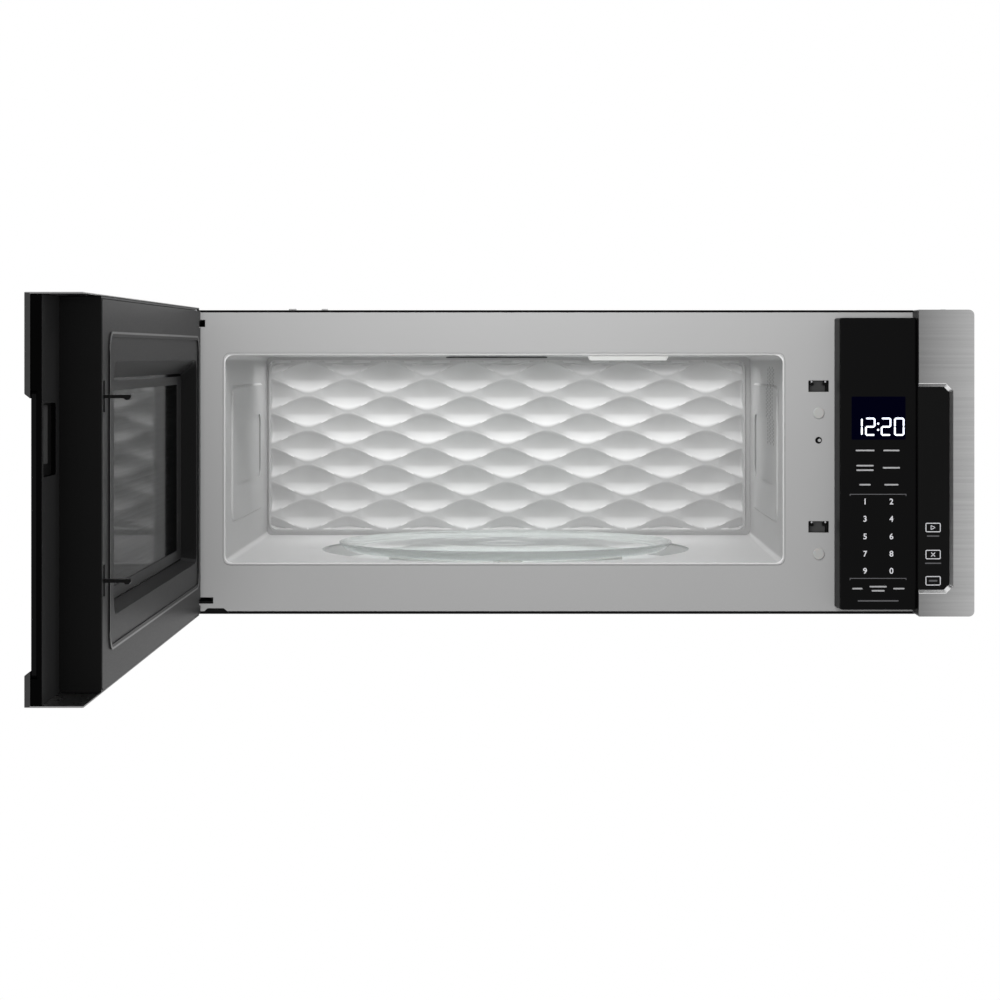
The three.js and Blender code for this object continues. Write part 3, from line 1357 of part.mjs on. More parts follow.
// Steel face with top, bottom and hinge-side returns, sunk for the glass band.
function doorSkin() {
  const faceY = [DOOR_OUTER, DOOR_OUTER + SKIN_T];
  const depthY = [DOOR_OUTER, DOOR_OUTER + DOOR_FLANGE];
  const face = block(doorX, faceY, doorZ);
  const top = block(doorX, depthY, [doorZ[1] - SKIN_T, doorZ[1]]);
  const bottom = block(doorX, depthY, [doorZ[0], doorZ[0] + SKIN_T]);
  const left = block([doorX[0], doorX[0] + SKIN_T], depthY, doorZ);
  const right = [
    [doorZ[0], bandZ[0] + BAND_BEVEL],
    [bandZ[1] - BAND_BEVEL, doorZ[1]],
  ].map((z) => block([doorX[1] - SKIN_T, doorX[1]], [DOOR_OUTER, sunkY - GAP], z));
  const bent = joined(face, top, bottom, left, ...right);
  return cutBy(sunkBand(bent, doorX), ...armRoom);
}
add("door_skin", doorSkin(), brushedSteel, door);

// Black glass behind the band.
function doorGlass() {
  const x = [bandX[0] - 2, DOOR_RIGHT - SKIN_T - GAP];
  return slabY(rounded(x, grown(bandZ, GLASS_LAP), 4), glassY);
}
add("door_glass", doorGlass(), blackGlass, door);

const windowX = [DOOR_LEFT + WINDOW_FROM_HINGE_END, THICK_RIGHT - WINDOW_FROM_STEP];
const windowZ = [DOOR_BOTTOM + WINDOW_FROM_FOOT, DOOR_TOP - WINDOW_FROM_HEAD];
const funnelY = coverY[1] - WINDOW_DEPTH;
const viewX = grown(windowX, -WINDOW_SIDE_BEVEL);
const viewZ = [windowZ[0] + WINDOW_FOOT_BEVEL, windowZ[1] - WINDOW_HEAD_BEVEL];
const innerGlassY = [funnelY - GAP - 3, funnelY - GAP];
const screenY = [innerGlassY[0] - GAP - 0.8, innerGlassY[0] - GAP];
const LATCH_BAR_Z = [LATCH_Z[1] - 36, LATCH_Z[0] + 34];
const latchBarX = around(LATCH_X, LATCH_BAR_W);
const latchBarY = [panY[1] - LATCH_BAR_T, panY[1]];
const GUIDE_Z = [-20, 30];

// Black pan: a back with a window opening, side walls and a low wall that carries the screen.
function doorPan() {
  const tray = block(panX, [panY[0], panRim], insideZ);
  const hollow = block(
    grown(panX, -DOOR_WALL),
    [panY[0] + DOOR_WALL, panRim + CUT],
    grown(insideZ, -DOOR_WALL),
  );
  const ledge = slabY(rounded(grown(viewX, 9), grown(viewZ, 9), 12), [panY[0], screenY[0] - GAP]);
  const window = slabY(rounded(viewX, viewZ, VIEW_R), grown(panY, CUT));
  const guides = GUIDE_Z.map((z) =>
    block(grown(latchBarX, 3), [panY[0], latchBarY[0] - GAP], around(z, 8)),
  );
  return cutBy(joined(cutBy(tray, hollow), ledge, ...guides), window, ...cornerRoom);
}

// Inner cover: a plate with a raised bead, the sunk window frame and a slot for each hook.
function doorCover() {
  const inPan = -DOOR_WALL - GAP;
  const plate = slabY(rounded(grown(panX, inPan), grown(insideZ, inPan), 3), coverY);
  const beadX = [DOOR_LEFT + BEAD_FROM_HINGE_END, THICK_RIGHT - BEAD_FROM_STEP];
  const beadZ = [DOOR_BOTTOM + BEAD_FROM_FOOT, DOOR_TOP - BEAD_FROM_HEAD];
  const beadHole = rounded(grown(beadX, -BEAD_W), grown(beadZ, -BEAD_W), BEAD_R - BEAD_W);
  const bead = slabY(rounded(beadX, beadZ, BEAD_R), [coverY[0], coverY[1] + BEAD]).subtract(
    slabY(beadHole, grown(coverY, 2 * BEAD)),
  );
  const funnel = (by) => {
    const spill = by > 0 ? 0 : CUT;
    const foot = rounded(grown(viewX, by), grown(viewZ, by), VIEW_R);
    const mouth = rounded(grown(windowX, by), grown(windowZ, by), WINDOW_R);
    return loft([ringY(foot, funnelY - spill), ringY(mouth, coverY[1] + spill)]);
  };
  const slots = LATCH_Z.map((z) =>
    block(around(LATCH_X, HOOK_SLOT_W), grown(coverY, 2 * CUT), around(z, HOOK_SLOT_H)),
  );
  return cutBy(joined(plate, bead, funnel(DOOR_WALL)), funnel(0), ...slots, ...armRoom);
}

// The pan is cut back at both hinge corners, where the hinge blocks sit.
const BLOCK_W = 30;
const blockFoot = HINGE_Z + HINGE_ARM_T / 2 + 0.6;
const cornerRoom = [1, -1].map((side) => {
  const z = [side * (HINGE_Z - HINGE_ARM_T / 2 - 2), side * (DOOR_TOP + CUT)].sort((a, b) => a - b);
  return block([DOOR_LEFT - CUT, PIVOT_X + BLOCK_W], [panY[0] - CUT, panRim + CUT], z);
});
add("door_pan", doorPan(), blackPaint, door);
add("door_cover", doorCover(), greyPlastic, door);

// Solid hinge blocks under the skin's returns. Each has the bore for its pin.
function hingeBlock(side) {
  const z = side > 0 ? [blockFoot, insideZ[1]] : [insideZ[0], -blockFoot];
  const x = [DOOR_LEFT + SKIN_T + GAP, PIVOT_X + BLOCK_W - GAP];
  const y = [DOOR_OUTER + SKIN_T + GAP, coverY[0] - GAP];
  const bore = rodZ([PIVOT_X, PIVOT_Y], HINGE_PIN_R + HINGE_PIN_CLEARANCE, grown(z, CUT), 20);
  return block(x, y, z).subtract(bore);
}
add("hinge_block_upper", hingeBlock(1), plainSteel, door);
add("hinge_block_lower", hingeBlock(-1), plainSteel, door);

add(
  "door_inner_glass",
  slabY(rounded(grown(viewX, 6), grown(viewZ, 6), 6), innerGlassY),
  clearGlass,
  door,
);
add(
  "door_screen",
  slabY(rounded(grown(viewX, 8), grown(viewZ, 8), 6), screenY),
  finish(0x1b1b1c, 0.5, 0.5),
  door,
);

const END_WALL_T = 1.6;
const END_WALL_INSET = 0.4;

// Thin end of the door in front of the keypad, with a window over the display and a wall that
// closes the end above and below the glass.
function doorEndCover() {
  const x = [THICK_RIGHT + GAP, DOOR_RIGHT - SKIN_T - GAP];
  const y = [glassY[1] + GAP, DOOR_OUTER + DOOR_THIN];
  const plate = block([x[0], DOOR_RIGHT - END_WALL_INSET], y, insideZ);
  const view = grown(displayX, 1.6);
  const high = grown(displayZ, 5.4);
  const window = slabY(rounded(view, high, 3), grown(y, CUT));
  const wallX = [x[1] - END_WALL_T, DOOR_RIGHT - END_WALL_INSET];
  const glassZ = grown(bandZ, GLASS_LAP + GAP);
  const walls = [
    [insideZ[0], glassZ[0]],
    [glassZ[1], insideZ[1]],
  ].map((z) => block(wallX, [sunkY, y[0] + CUT], z));
  return joined(plate.subtract(window), ...walls);
}
add("door_end_cover", doorEndCover(), blackPlastic, door);

// ---------------------------------------------------------------- latch

const latch = new THREE.Group();
door.add(latch);

// Flat bar behind the inner cover with two flat hooks that reach out through its slots.
function latchBar() {
  const bar = block(latchBarX, latchBarY, LATCH_BAR_Z);
  const tip = DOOR_INNER + HOOK_REACH;
  const hooks = LATCH_Z.map((z) => {
    const half = HOOK_T / 2;
    const profile = outline([
      [latchBarY[0], z - half],
      [tip - 5, z - half],
      [tip - 4, z - half - HOOK_BARB],
      [tip - 1.5, z - half - HOOK_BARB],
      [tip, z - half + 0.6],
      [tip, z + half],
      [latchBarY[0], z + half],
    ]);
    return slabX(profile, around(LATCH_X, HOOK_W));
  });
  return joined(bar, ...hooks);
}
add("latch_bar", latchBar(), blackPlastic, latch);

// Return spring between the bar's upper end and the pan's wall.
const SPRING_R = 3.2;
const SPRING_WIRE = 0.45;
const SPRING_TURNS = 5;
const springZ = [LATCH_BAR_Z[1] + GAP + SPRING_WIRE, insideZ[1] - DOOR_WALL - GAP - SPRING_WIRE];

class Helix extends THREE.Curve {
  getPoint(t, target = new THREE.Vector3()) {
    const angle = t * SPRING_TURNS * 2 * Math.PI;
    const y = (latchBarY[0] + latchBarY[1]) / 2 - 2;
    return target.set(
      LATCH_X + SPRING_R * Math.cos(angle),
      y + SPRING_R * Math.sin(angle),
      springZ[0] + t * (springZ[1] - springZ[0]),
    );
  }
}

function latchSpring() {
  const sides = 5;
  const wire = outline(
    Array.from({ length: sides }, (_, i) => {
      const angle = (i * 2 * Math.PI) / sides;
      return [SPRING_WIRE * Math.cos(angle), SPRING_WIRE * Math.sin(angle)];
    }),
  );
  const extrudePath = new Helix();
  return solid(new THREE.ExtrudeGeometry(wire, { steps: SPRING_TURNS * 7, extrudePath }));
}
add("latch_spring", latchSpring(), plainSteel, door);

export default part;
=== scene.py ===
"""Over-the-range microwave hood with its door swung open, dressed around its fixed frame.

Metres. X points right, Y points to the wall, Z points up. The frame holds the pieces that carry,
fasten and move. This file gives every piece its finish, rounds the edges of what shows, and adds
the fine forms: the quilted cavity wall, the perforated sheets, the printed keypad and the screws.
"""

import json
import math
from functools import partialmethod

import bmesh
import bpy
from bpy.props import FloatProperty, FloatVectorProperty, IntProperty, PointerProperty
from mathutils import Matrix, Vector

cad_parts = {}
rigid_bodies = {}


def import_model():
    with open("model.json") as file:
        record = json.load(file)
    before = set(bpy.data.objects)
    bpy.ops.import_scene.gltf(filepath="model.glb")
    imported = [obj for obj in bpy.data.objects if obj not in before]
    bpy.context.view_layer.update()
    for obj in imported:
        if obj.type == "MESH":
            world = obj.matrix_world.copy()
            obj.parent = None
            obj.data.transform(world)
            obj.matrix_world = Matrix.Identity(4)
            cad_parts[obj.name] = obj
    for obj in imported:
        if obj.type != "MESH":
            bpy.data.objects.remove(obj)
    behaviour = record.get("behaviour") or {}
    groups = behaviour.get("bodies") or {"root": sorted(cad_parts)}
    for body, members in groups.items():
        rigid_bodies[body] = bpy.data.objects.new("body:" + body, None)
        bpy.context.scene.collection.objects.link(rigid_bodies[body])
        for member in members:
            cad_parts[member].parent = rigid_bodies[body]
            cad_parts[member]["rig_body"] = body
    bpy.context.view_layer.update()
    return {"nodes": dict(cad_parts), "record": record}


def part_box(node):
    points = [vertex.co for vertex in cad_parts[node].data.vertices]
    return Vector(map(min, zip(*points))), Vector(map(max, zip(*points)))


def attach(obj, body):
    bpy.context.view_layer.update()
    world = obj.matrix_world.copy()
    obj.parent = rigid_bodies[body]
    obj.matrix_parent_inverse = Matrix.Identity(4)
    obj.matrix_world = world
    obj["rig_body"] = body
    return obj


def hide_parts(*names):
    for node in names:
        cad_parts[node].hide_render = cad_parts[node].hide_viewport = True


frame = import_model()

bl_info = {
    "name": "Over-the-Range Microwave",
    "version": (1, 0, 0),
    "blender": (4, 5, 0),
    "location": "3D View > Sidebar > Microwave",
    "description": "Finishes and fine forms of a low over-the-range microwave hood",
    "category": "Object",
}

MM = 0.001


def mm(*lengths):
    """Lengths in millimetres as metres."""
    return tuple(value * MM for value in lengths)


# Outline of the quilted press inside the cavity's rear wall, from the edges of its flange
QUILT_FROM_LEFT = 10.5 * MM
QUILT_FROM_RIGHT = 13.7 * MM
QUILT_FROM_FOOT = 12.6 * MM
QUILT_FROM_HEAD = 12.4 * MM

# The photograph's frame: its side and vanishing point in pixels, and its scale at the front plate
PHOTO_SIDE = 1000
PHOTO_VANISH = (528, 353)
PHOTO_PX_PER_MM = 1.065
EYE_X = -33 * MM
EYE_Z = 102.4 * MM
EYE_TO_PLATE = 2740 * MM
SENSOR = 36.0


# ------------------------------------------------------------------ sizes and colours


def length(name, description, default):
    """A length property with its default."""
    return FloatProperty(name=name, description=description, default=default, unit="LENGTH")


class MicrowaveSizes(bpy.types.PropertyGroup):
    """Sizes of the fine forms that the frame doesn't hold."""

    quilt_columns: IntProperty(
        name="Quilt columns", description="Diamonds across the rear wall", default=6, min=1
    )
    quilt_levels: IntProperty(
        name="Quilt levels", description="Half-diamond levels up the rear wall", default=10, min=2
    )
    quilt_depth: length("Quilt depth", "How deep a diamond's crease lies behind its rim", 7 * MM)
    quilt_neck: length("Quilt neck", "Flat land between the tips of two diamonds", 4.5 * MM)
    quilt_border: length("Quilt border", "Flat border round the diamonds", 2.5 * MM)
    quilt_corner: length("Quilt corner", "Corner radius of the press", 9 * MM)
    quilt_lip: length("Quilt lip", "Rise of the fold under each diamond", 0.35 * MM)
    screen_pitch: length(
        "Screen pitch", "Distance between the holes of the door's screen", 5.4 * MM
    )
    screw_radius: length("Screw radius", "Radius of a screw's head", 3.4 * MM)
    digit_height: length("Digit height", "Height of a printed digit", 5.4 * MM)


def colour(name, description, value):
    """A linear colour property with its default."""
    return FloatVectorProperty(
        name=name, description=description, default=value, subtype="COLOR", min=0, max=1
    )


class MicrowaveColours(bpy.types.PropertyGroup):
    """Colours of the finishes."""

    cabinet: colour("Cabinet", "Black powder coat", (0.004, 0.004, 0.0042))
    front: colour("Front", "Grey enamel of the front plate", (0.39, 0.39, 0.39))
    cavity: colour("Cavity", "Pale enamel inside the cavity", (0.52, 0.52, 0.52))
    # Painted light: the enamel's colour where it faces up, lighter as if lit from above
    cavity_up: colour("Cavity up", "Pale enamel where it faces up", (0.72, 0.72, 0.72))
    face: colour("Face", "Brushed steel of the door and the end strip", (0.34, 0.34, 0.34))
    sheet: colour("Sheet", "Zinc-coated steel of the hidden panels", (0.52, 0.53, 0.54))
    moulding: colour("Moulding", "Black plastic", (0.004, 0.004, 0.004))
    cover: colour("Cover", "Grey plastic of the door's inner cover", (0.022, 0.022, 0.0223))
    nylon: colour("Nylon", "Pale plastic of plugs, lenses and rollers", (0.42, 0.42, 0.41))
    print: colour("Print", "White print on the glass", (0.75, 0.75, 0.78))
    navy: colour("Navy", "Filter over the display", (0.0006, 0.0006, 0.006))


class MicrowaveStudio(bpy.types.PropertyGroup):
    """Camera and light."""

    ambient: FloatProperty(
        name="Ambient", description="Strength of the surroundings on matt surfaces", default=0.3
    )
    key: FloatProperty(name="Key", description="Power of the large lamp above", default=3.3)
    fill: FloatProperty(name="Fill", description="Power of the lamp behind the eye", default=36.0)
    cavity: FloatProperty(name="Cavity", description="Power of the cavity's lamp", default=0.365)


def sizes():
    return bpy.context.scene.microwave_sizes


def colours():
    return bpy.context.scene.microwave_colours


# ------------------------------------------------------------------ trees of nodes


def put(tree, kind, inputs=None, **settings):
    """Add a node with its settings, and with a value or a link on each of the named inputs. A
    node that is given as a value stands for its first output."""
    made = tree.nodes.new(kind)
    for key, value in settings.items():
        setattr(made, key, value)
    for key, value in (inputs or {}).items():
        if isinstance(value, bpy.types.Node):
            value = value.outputs[0]
        if isinstance(value, Field):
            value = value.socket
        if isinstance(value, bpy.types.NodeSocket):
            tree.links.new(value, made.inputs[key])
        else:
            made.inputs[key].default_value = value
    return made


def new_tree(name, kind, inputs, outputs):
    """A node group with its input and output nodes. An input is set by its default, or by its
    kind of socket where it has none, and an output by its kind."""
    tree = bpy.data.node_groups.new(name, kind)
    for label, default in inputs.items():
        socket_kind = {int: "Int", float: "Float"}.get(type(default), default)
        socket = tree.interface.new_socket(
            label, in_out="INPUT", socket_type=f"NodeSocket{socket_kind}"
        )
        if socket_kind != default:
            socket.default_value = default
    for label, socket_kind in outputs.items():
        tree.interface.new_socket(label, in_out="OUTPUT", socket_type=f"NodeSocket{socket_kind}")
    return tree, tree.nodes.new("NodeGroupInput"), tree.nodes.new("NodeGroupOutput")


class Field:
    """A number that varies over a mesh. Its arithmetic builds the Math nodes of a tree."""

    def __init__(self, tree, socket):
        self.tree = tree
        self.socket = socket

    def math(self, operation, *others):
        numbers = dict(enumerate((self, *others)))
        node = put(self.tree, "ShaderNodeMath", numbers, operation=operation)
        return Field(self.tree, node.outputs[0])

    __add__ = partialmethod(math, "ADD")
    __sub__ = partialmethod(math, "SUBTRACT")
    __mul__ = partialmethod(math, "MULTIPLY")
    __truediv__ = partialmethod(math, "DIVIDE")
    __pow__ = partialmethod(math, "POWER")
    # Without its sign, the larger of two, the smaller of two, and 1 where it is greater, else 0
    size = partialmethod(math, "ABSOLUTE")
    above = partialmethod(math, "MAXIMUM")
    below = partialmethod(math, "MINIMUM")
    beyond = partialmethod(math, "GREATER_THAN")

    def flipped(self):
        """One minus the field."""
        return self * -1.0 + 1.0

    def share(self):
        """The field held between 0 and 1."""
        return self.above(0.0).below(1.0)

    def between(self, first, second):
        """First where the field is 0, second where it is 1."""
        return first + (second - first) * self


# ------------------------------------------------------------------ finishes

PATTERN_INPUTS = {"Vector": "Vector", "Size": 1000.0}
PATTERN_OUTPUTS = {"Fine": "Float", "Broad": "Float"}
GEOMETRY = {"Geometry": "Geometry"}


def noise(scale=None, detail=2.0, roughness=0.5, along=1.0):
    """A mask of noise in the pattern's size or in one of its own. Where it is drawn out along X
    and Y, it runs in level lines."""

    def make(tree, given):
        vector = given.outputs["Vector"]
        if along != 1.0:
            values = {0: vector, 1: (along, along, 1.0)}
            vector = put(tree, "ShaderNodeVectorMath", values, operation="MULTIPLY")
        values = {"Vector": vector, "Scale": scale or given.outputs["Size"]}
        values |= {"Detail": detail, "Roughness": roughness}
        return put(tree, "ShaderNodeTexNoise", values).outputs["Fac"]

    return make


def zinc_cells(tree, given):
    """Cells of a zinc coat, each in a tone of its own."""
    values = {"Vector": given.outputs["Vector"], "Scale": 150.0}
    cells = put(tree, "ShaderNodeTexVoronoi", values)
    return put(tree, "ShaderNodeRGBToBW", {0: cells.outputs["Color"]}).outputs[0]


def close_turns(tree, given):
    """Turns of wire that lie level."""
    values = {"Vector": given.outputs["Vector"], "Scale": given.outputs["Size"]}
    return put(tree, "ShaderNodeTexWave", values, bands_direction="Z").outputs["Fac"]


def board_islands(tree, given):
    """Square islands and tracks of a printed board."""
    values = {"Vector": given.outputs["Vector"], "Scale": given.outputs["Size"]}
    cells = put(tree, "ShaderNodeTexVoronoi", values, distance="CHEBYCHEV", feature="F1")
    return Field(tree, cells.outputs["Distance"]).beyond(0.42).socket


# The fine and the broad mask of each pattern
PATTERNS = {
    "grain": (noise(None, 3.0), noise(11.0, 3.0, 0.6)),
    "brushed_lines": (noise(None, 4.0, 0.7, 0.02), noise(420.0, 3.0, 0.65, 0.012)),
    "zinc_spangle": (noise(), zinc_cells),
    "wire_turns": (close_turns, noise(60.0)),
    "board_tracks": (noise(900.0), board_islands),
}


def pattern_group(name):
    """The shader group that puts out a pattern's two masks."""
    if name in bpy.data.node_groups:
        return bpy.data.node_groups[name]
    tree, given, result = new_tree(name, "ShaderNodeTree", PATTERN_INPUTS, PATTERN_OUTPUTS)
    for label, make in zip(PATTERN_OUTPUTS, PATTERNS[name]):
        tree.links.new(make(tree, given), result.inputs[label])
    return tree


SPECULAR = "Specular IOR Level"
CLEAR_SHADOW = (0.9, 0.93, 0.92, 1)
# Painted sheen: tone of the end strip at its inner and its outer edge, as a share of its colour,
# standing in for the light reflected across it
END_PAINTED_SHEEN = (0.62, 1.25)

# The finishes: colour (one number is a grey, a word is a colour of the panel), how far it
# shifts, roughness, its swing, size of the pattern, relief in metres, pattern, other sockets
FINISHES = {
    "black_powder_coat": ("cabinet", 0.15, 0.42, 0.05, 1400, 8e-6, "grain", {SPECULAR: 0.08}),
    "grey_front_enamel": ("front", 0.02, 0.36, 0.03, 1800, 3e-6, "grain", {SPECULAR: 0.4}),
    # Painted highlight: near-white enamel for the fold round the cavity's mouth
    "bright_fold_enamel": (0.80, 0.02, 0.3, 0.03, 1800, 0, "grain", {SPECULAR: 0.3}),
    "pale_cavity_enamel": ("cavity", 0.015, 0.36, 0.03, 900, 4e-6, "grain", {SPECULAR: 0.3}),
    "brushed_face_steel": (
        "face", 0.10, 0.30, 0.05, 5200, 5e-6, "brushed_lines",
        {"Metallic": 1.0, "Anisotropic": 0.5},
    ),
    # Brushed steel of the end strip, with a painted sheen across it
    "brushed_end_steel": (
        "face", 0.20, 0.32, 0.05, 5200, 5e-6, "brushed_lines",
        {"Metallic": 1.0, "Anisotropic": 0.5},
    ),
    # Painted highlight: a light copy of the brushed steel for the pocket's slanted ends
    "bright_bevel_steel": (0.78, 0.04, 0.28, 0.05, 5200, 5e-6, "brushed_lines", {"Metallic": 1.0}),
    # Painted shade: a dark copy of the brushed steel for the door skin's turned-in ends
    "brushed_edge_steel": (0.05, 0.10, 0.34, 0.05, 5200, 5e-6, "brushed_lines", {"Metallic": 1.0}),
    "zinc_coated_sheet": ("sheet", 0.10, 0.40, 0.06, 700, 4e-6, "zinc_spangle", {"Metallic": 1.0}),
    # Dull zinc of the stop plates, also the painted shade in the closed air holes
    "dull_zinc": (0.13, 0.08, 0.5, 0.05, 900, 3e-6, "grain", {SPECULAR: 0.2}),
    "black_moulding": ("moulding", 0.12, 0.38, 0.05, 1600, 8e-6, "grain", {SPECULAR: 0.06}),
    "black_door_shell": (0.0012, 0.15, 0.40, 0.05, 1400, 8e-6, "grain", {SPECULAR: 0.01}),
    "grey_door_moulding": ("cover", 0.06, 0.36, 0.04, 1500, 6e-6, "grain", {SPECULAR: 0.025}),
    # Painted highlight: a lighter copy of the door cover's moulding for the bead
    "door_bead_moulding": (
        (0.10, 0.10, 0.101), 0.05, 0.34, 0.04, 1500, 0, "grain", {SPECULAR: 0.2},
    ),
    "pale_tab_zinc": (0.62, 0.06, 0.45, 0.05, 900, 3e-6, "grain", {SPECULAR: 0.3}),
    "window_strip_moulding": (0.06, 0.05, 0.4, 0.04, 1500, 0, "grain", {SPECULAR: 0.05}),
    "pale_nylon": (
        "nylon", 0.03, 0.34, 0.04, 1100, 5e-6, "grain",
        {"Subsurface Weight": 0.05, "Subsurface Scale": 0.002},
    ),
    "black_backed_glass": (
        (0.0025, 0.0025, 0.0026), 0.05, 0.06, 0.015, 500, 0, "grain", {SPECULAR: 0.05},
    ),
    "clear_tray_glass": (
        (0.95, 0.98, 0.97), 0.01, 0.02, 0.01, 300, 0, "grain",
        {"Transmission Weight": 0.85, "IOR": 1.4},
    ),
    "door_pane_glass": (
        (0.15, 0.153, 0.156), 0.01, 0.06, 0.02, 300, 0, "grain",
        {"Transmission Weight": 1.0, "IOR": 1.055},
    ),
    "display_filter": ("navy", 0.1, 0.10, 0.02, 600, 0, "grain", {SPECULAR: 0.0}),
    "lit_segments": (
        (0.8, 0.85, 1.0), 0.02, 0.4, 0.02, 600, 0, "grain",
        {"Emission Color": (0.86, 0.90, 1.0, 1), "Emission Strength": 1.0},
    ),
    "mica_sheet": (
        (0.60, 0.58, 0.54), 0.12, 0.42, 0.08, 420, 1.2e-5, "zinc_spangle", {SPECULAR: 0.6},
    ),
    # Painted shade: a dark copy of the mica, standing in for the shadow along the cavity's ceiling
    "dark_mica_sheet": (
        (0.05, 0.048, 0.045), 0.12, 0.42, 0.08, 420, 1.2e-5, "zinc_spangle", {SPECULAR: 0.2},
    ),
    "lit_lamp_lens": (
        (0.70, 0.70, 0.69), 0.02, 0.34, 0.04, 1100, 0, "grain",
        {"Emission Color": (1.0, 1.0, 0.98, 1), "Emission Strength": 0.35},
    ),
    "varnished_winding": (
        (0.42, 0.17, 0.07), 0.2, 0.34, 0.08, 520, 6e-5, "wire_turns", {"Metallic": 0.8},
    ),
    "printed_board": ((0.016, 0.085, 0.035), 0.45, 0.32, 0.08, 160, 8e-6, "board_tracks", {}),
    "dark_screen_enamel": (
        (0.030, 0.030, 0.031), 0.08, 0.40, 0.05, 900, 3e-6, "grain", {SPECULAR: 0.35},
    ),
    "white_print": ("print", 0.02, 0.45, 0.03, 900, 0, "grain", {}),
    "pale_print": ((0.42, 0.42, 0.43), 0.02, 0.45, 0.03, 900, 0, "grain", {}),
    "grey_print": ((0.09, 0.09, 0.095), 0.02, 0.45, 0.03, 900, 0, "grain", {}),
}


def finish(name):
    """The procedural material of a finish, with its tone, roughness and relief from one
    pattern."""
    if name in bpy.data.materials:
        return bpy.data.materials[name]
    base, tone, rough, swing, size, relief, pattern, sockets = FINISHES[name]
    if isinstance(base, str):
        base = getattr(colours(), base)
    elif not isinstance(base, tuple):
        base = (base,) * 3
    material = bpy.data.materials.new(name)
    material.use_nodes = True
    tree = material.node_tree
    shader = tree.nodes["Principled BSDF"]
    place = put(tree, "ShaderNodeTexCoord").outputs["Object"]
    masks = put(tree, "ShaderNodeGroup", node_tree=pattern_group(pattern))
    tree.links.new(place, masks.inputs["Vector"])
    masks.inputs["Size"].default_value = size
    darker = (*[part * (1 - tone) for part in base], 1)
    lighter = (*[min(1.0, part * (1 + tone)) for part in base], 1)
    mix_colour(tree, shader, masks.outputs["Broad"], darker, lighter)
    values = {"Value": masks.outputs["Fine"], "From Min": 0.3, "From Max": 0.7}
    values |= {"To Min": max(0.0, rough - swing), "To Max": min(1.0, rough + swing)}
    spread = put(tree, "ShaderNodeMapRange", values)
    tree.links.new(spread.outputs["Result"], shader.inputs["Roughness"])
    if relief > 0:
        values = {"Strength": 1.0, "Distance": relief, "Height": masks.outputs["Fine"]}
        bump = put(tree, "ShaderNodeBump", values)
        tree.links.new(bump.outputs["Normal"], shader.inputs["Normal"])
    for label, value in sockets.items():
        shader.inputs[label].default_value = value
    if "Transmission Weight" in sockets:
        light_passes(tree, shader)
    # Painted light on the cavity enamel: lighter where it faces up
    if name == "pale_cavity_enamel":
        paint_light_upwards(tree, shader)
    # Painted sheen across the end strip
    if name == "brushed_end_steel":
        paint_sheen_across(tree, shader)
    return material


def mix_colour(tree, shader, factor, first, second):
    """Give a shader a colour between two, each a value or a link."""
    values = {"Factor": factor, 6: first, 7: second}
    mixed = put(tree, "ShaderNodeMix", values, data_type="RGBA")
    tree.links.new(mixed.outputs[2], shader.inputs["Base Color"])


def light_passes(tree, shader):
    """Let the lamps shine through a clear piece, so that it casts only a faint shadow."""
    ray = put(tree, "ShaderNodeLightPath").outputs["Is Shadow Ray"]
    clear = put(tree, "ShaderNodeBsdfTransparent", {"Color": CLEAR_SHADOW})
    both = put(tree, "ShaderNodeMixShader", {0: ray, 1: shader, 2: clear})
    tree.links.new(both.outputs[0], tree.nodes["Material Output"].inputs["Surface"])


def facing_up():
    """How far a surface faces up, from 0 where it stands upright or faces down, to 1."""
    name = "facing_up"
    if name in bpy.data.node_groups:
        return bpy.data.node_groups[name]
    inputs = {"Normal": "Vector", "Start": 0.18, "Full": 0.5}
    tree, given, result = new_tree(name, "ShaderNodeTree", inputs, {"Up": "Float"})
    height = put(tree, "ShaderNodeSeparateXYZ", {0: given.outputs["Normal"]}).outputs["Z"]
    start = Field(tree, given.outputs["Start"])
    up = ((Field(tree, height) - start) / (Field(tree, given.outputs["Full"]) - start)).share()
    tree.links.new(up.socket, result.inputs["Up"])
    return tree


def paint_light_upwards(tree, shader):
    """Painted light: the pale enamel is lighter where it faces up, standing in for the cavity
    lamp's light from above.
    """
    plain = shader.inputs["Base Color"].links[0].from_socket
    normal = put(tree, "ShaderNodeTexCoord").outputs["Normal"]
    up = put(tree, "ShaderNodeGroup", node_tree=facing_up())
    tree.links.new(normal, up.inputs["Normal"])
    mix_colour(tree, shader, up.outputs["Up"], plain, (*colours().cavity_up, 1))


def paint_sheen_across(tree, shader):
    """Painted sheen: the end strip's colour grows lighter towards its outer edge, standing in for
    the gradient of reflected light.
    """
    lines = shader.inputs["Base Color"].links[0].from_socket
    low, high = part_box("end_trim")
    place = put(tree, "ShaderNodeTexCoord").outputs["Object"]
    across = put(tree, "ShaderNodeSeparateXYZ", {0: place}).outputs["X"]
    values = {"Value": across, "From Min": low.x, "From Max": high.x}
    values |= {"To Min": END_PAINTED_SHEEN[0], "To Max": END_PAINTED_SHEEN[1]}
    tone = put(tree, "ShaderNodeMapRange", values).outputs["Result"]
    scaled = put(tree, "ShaderNodeVectorMath", {0: lines, 1: tone}, operation="MULTIPLY")
    tree.links.new(scaled.outputs["Vector"], shader.inputs["Base Color"])


SLOT_FINISHES = {
    "black_paint": "black_powder_coat",
    "steel_sheet": "zinc_coated_sheet",
    "brushed_face": "brushed_face_steel",
    "grey_enamel": "grey_front_enamel",
    "white_enamel": "pale_cavity_enamel",
    "black_plastic": "black_moulding",
    "grey_plastic": "grey_door_moulding",
    "pale_plastic": "pale_nylon",
    "black_glass": "black_backed_glass",
    "clear_glass": "clear_tray_glass",
    "display": "display_filter",
    "mica": "mica_sheet",
    "copper": "varnished_winding",
    "board": "printed_board",
    "dark_screen": "dark_screen_enamel",
}


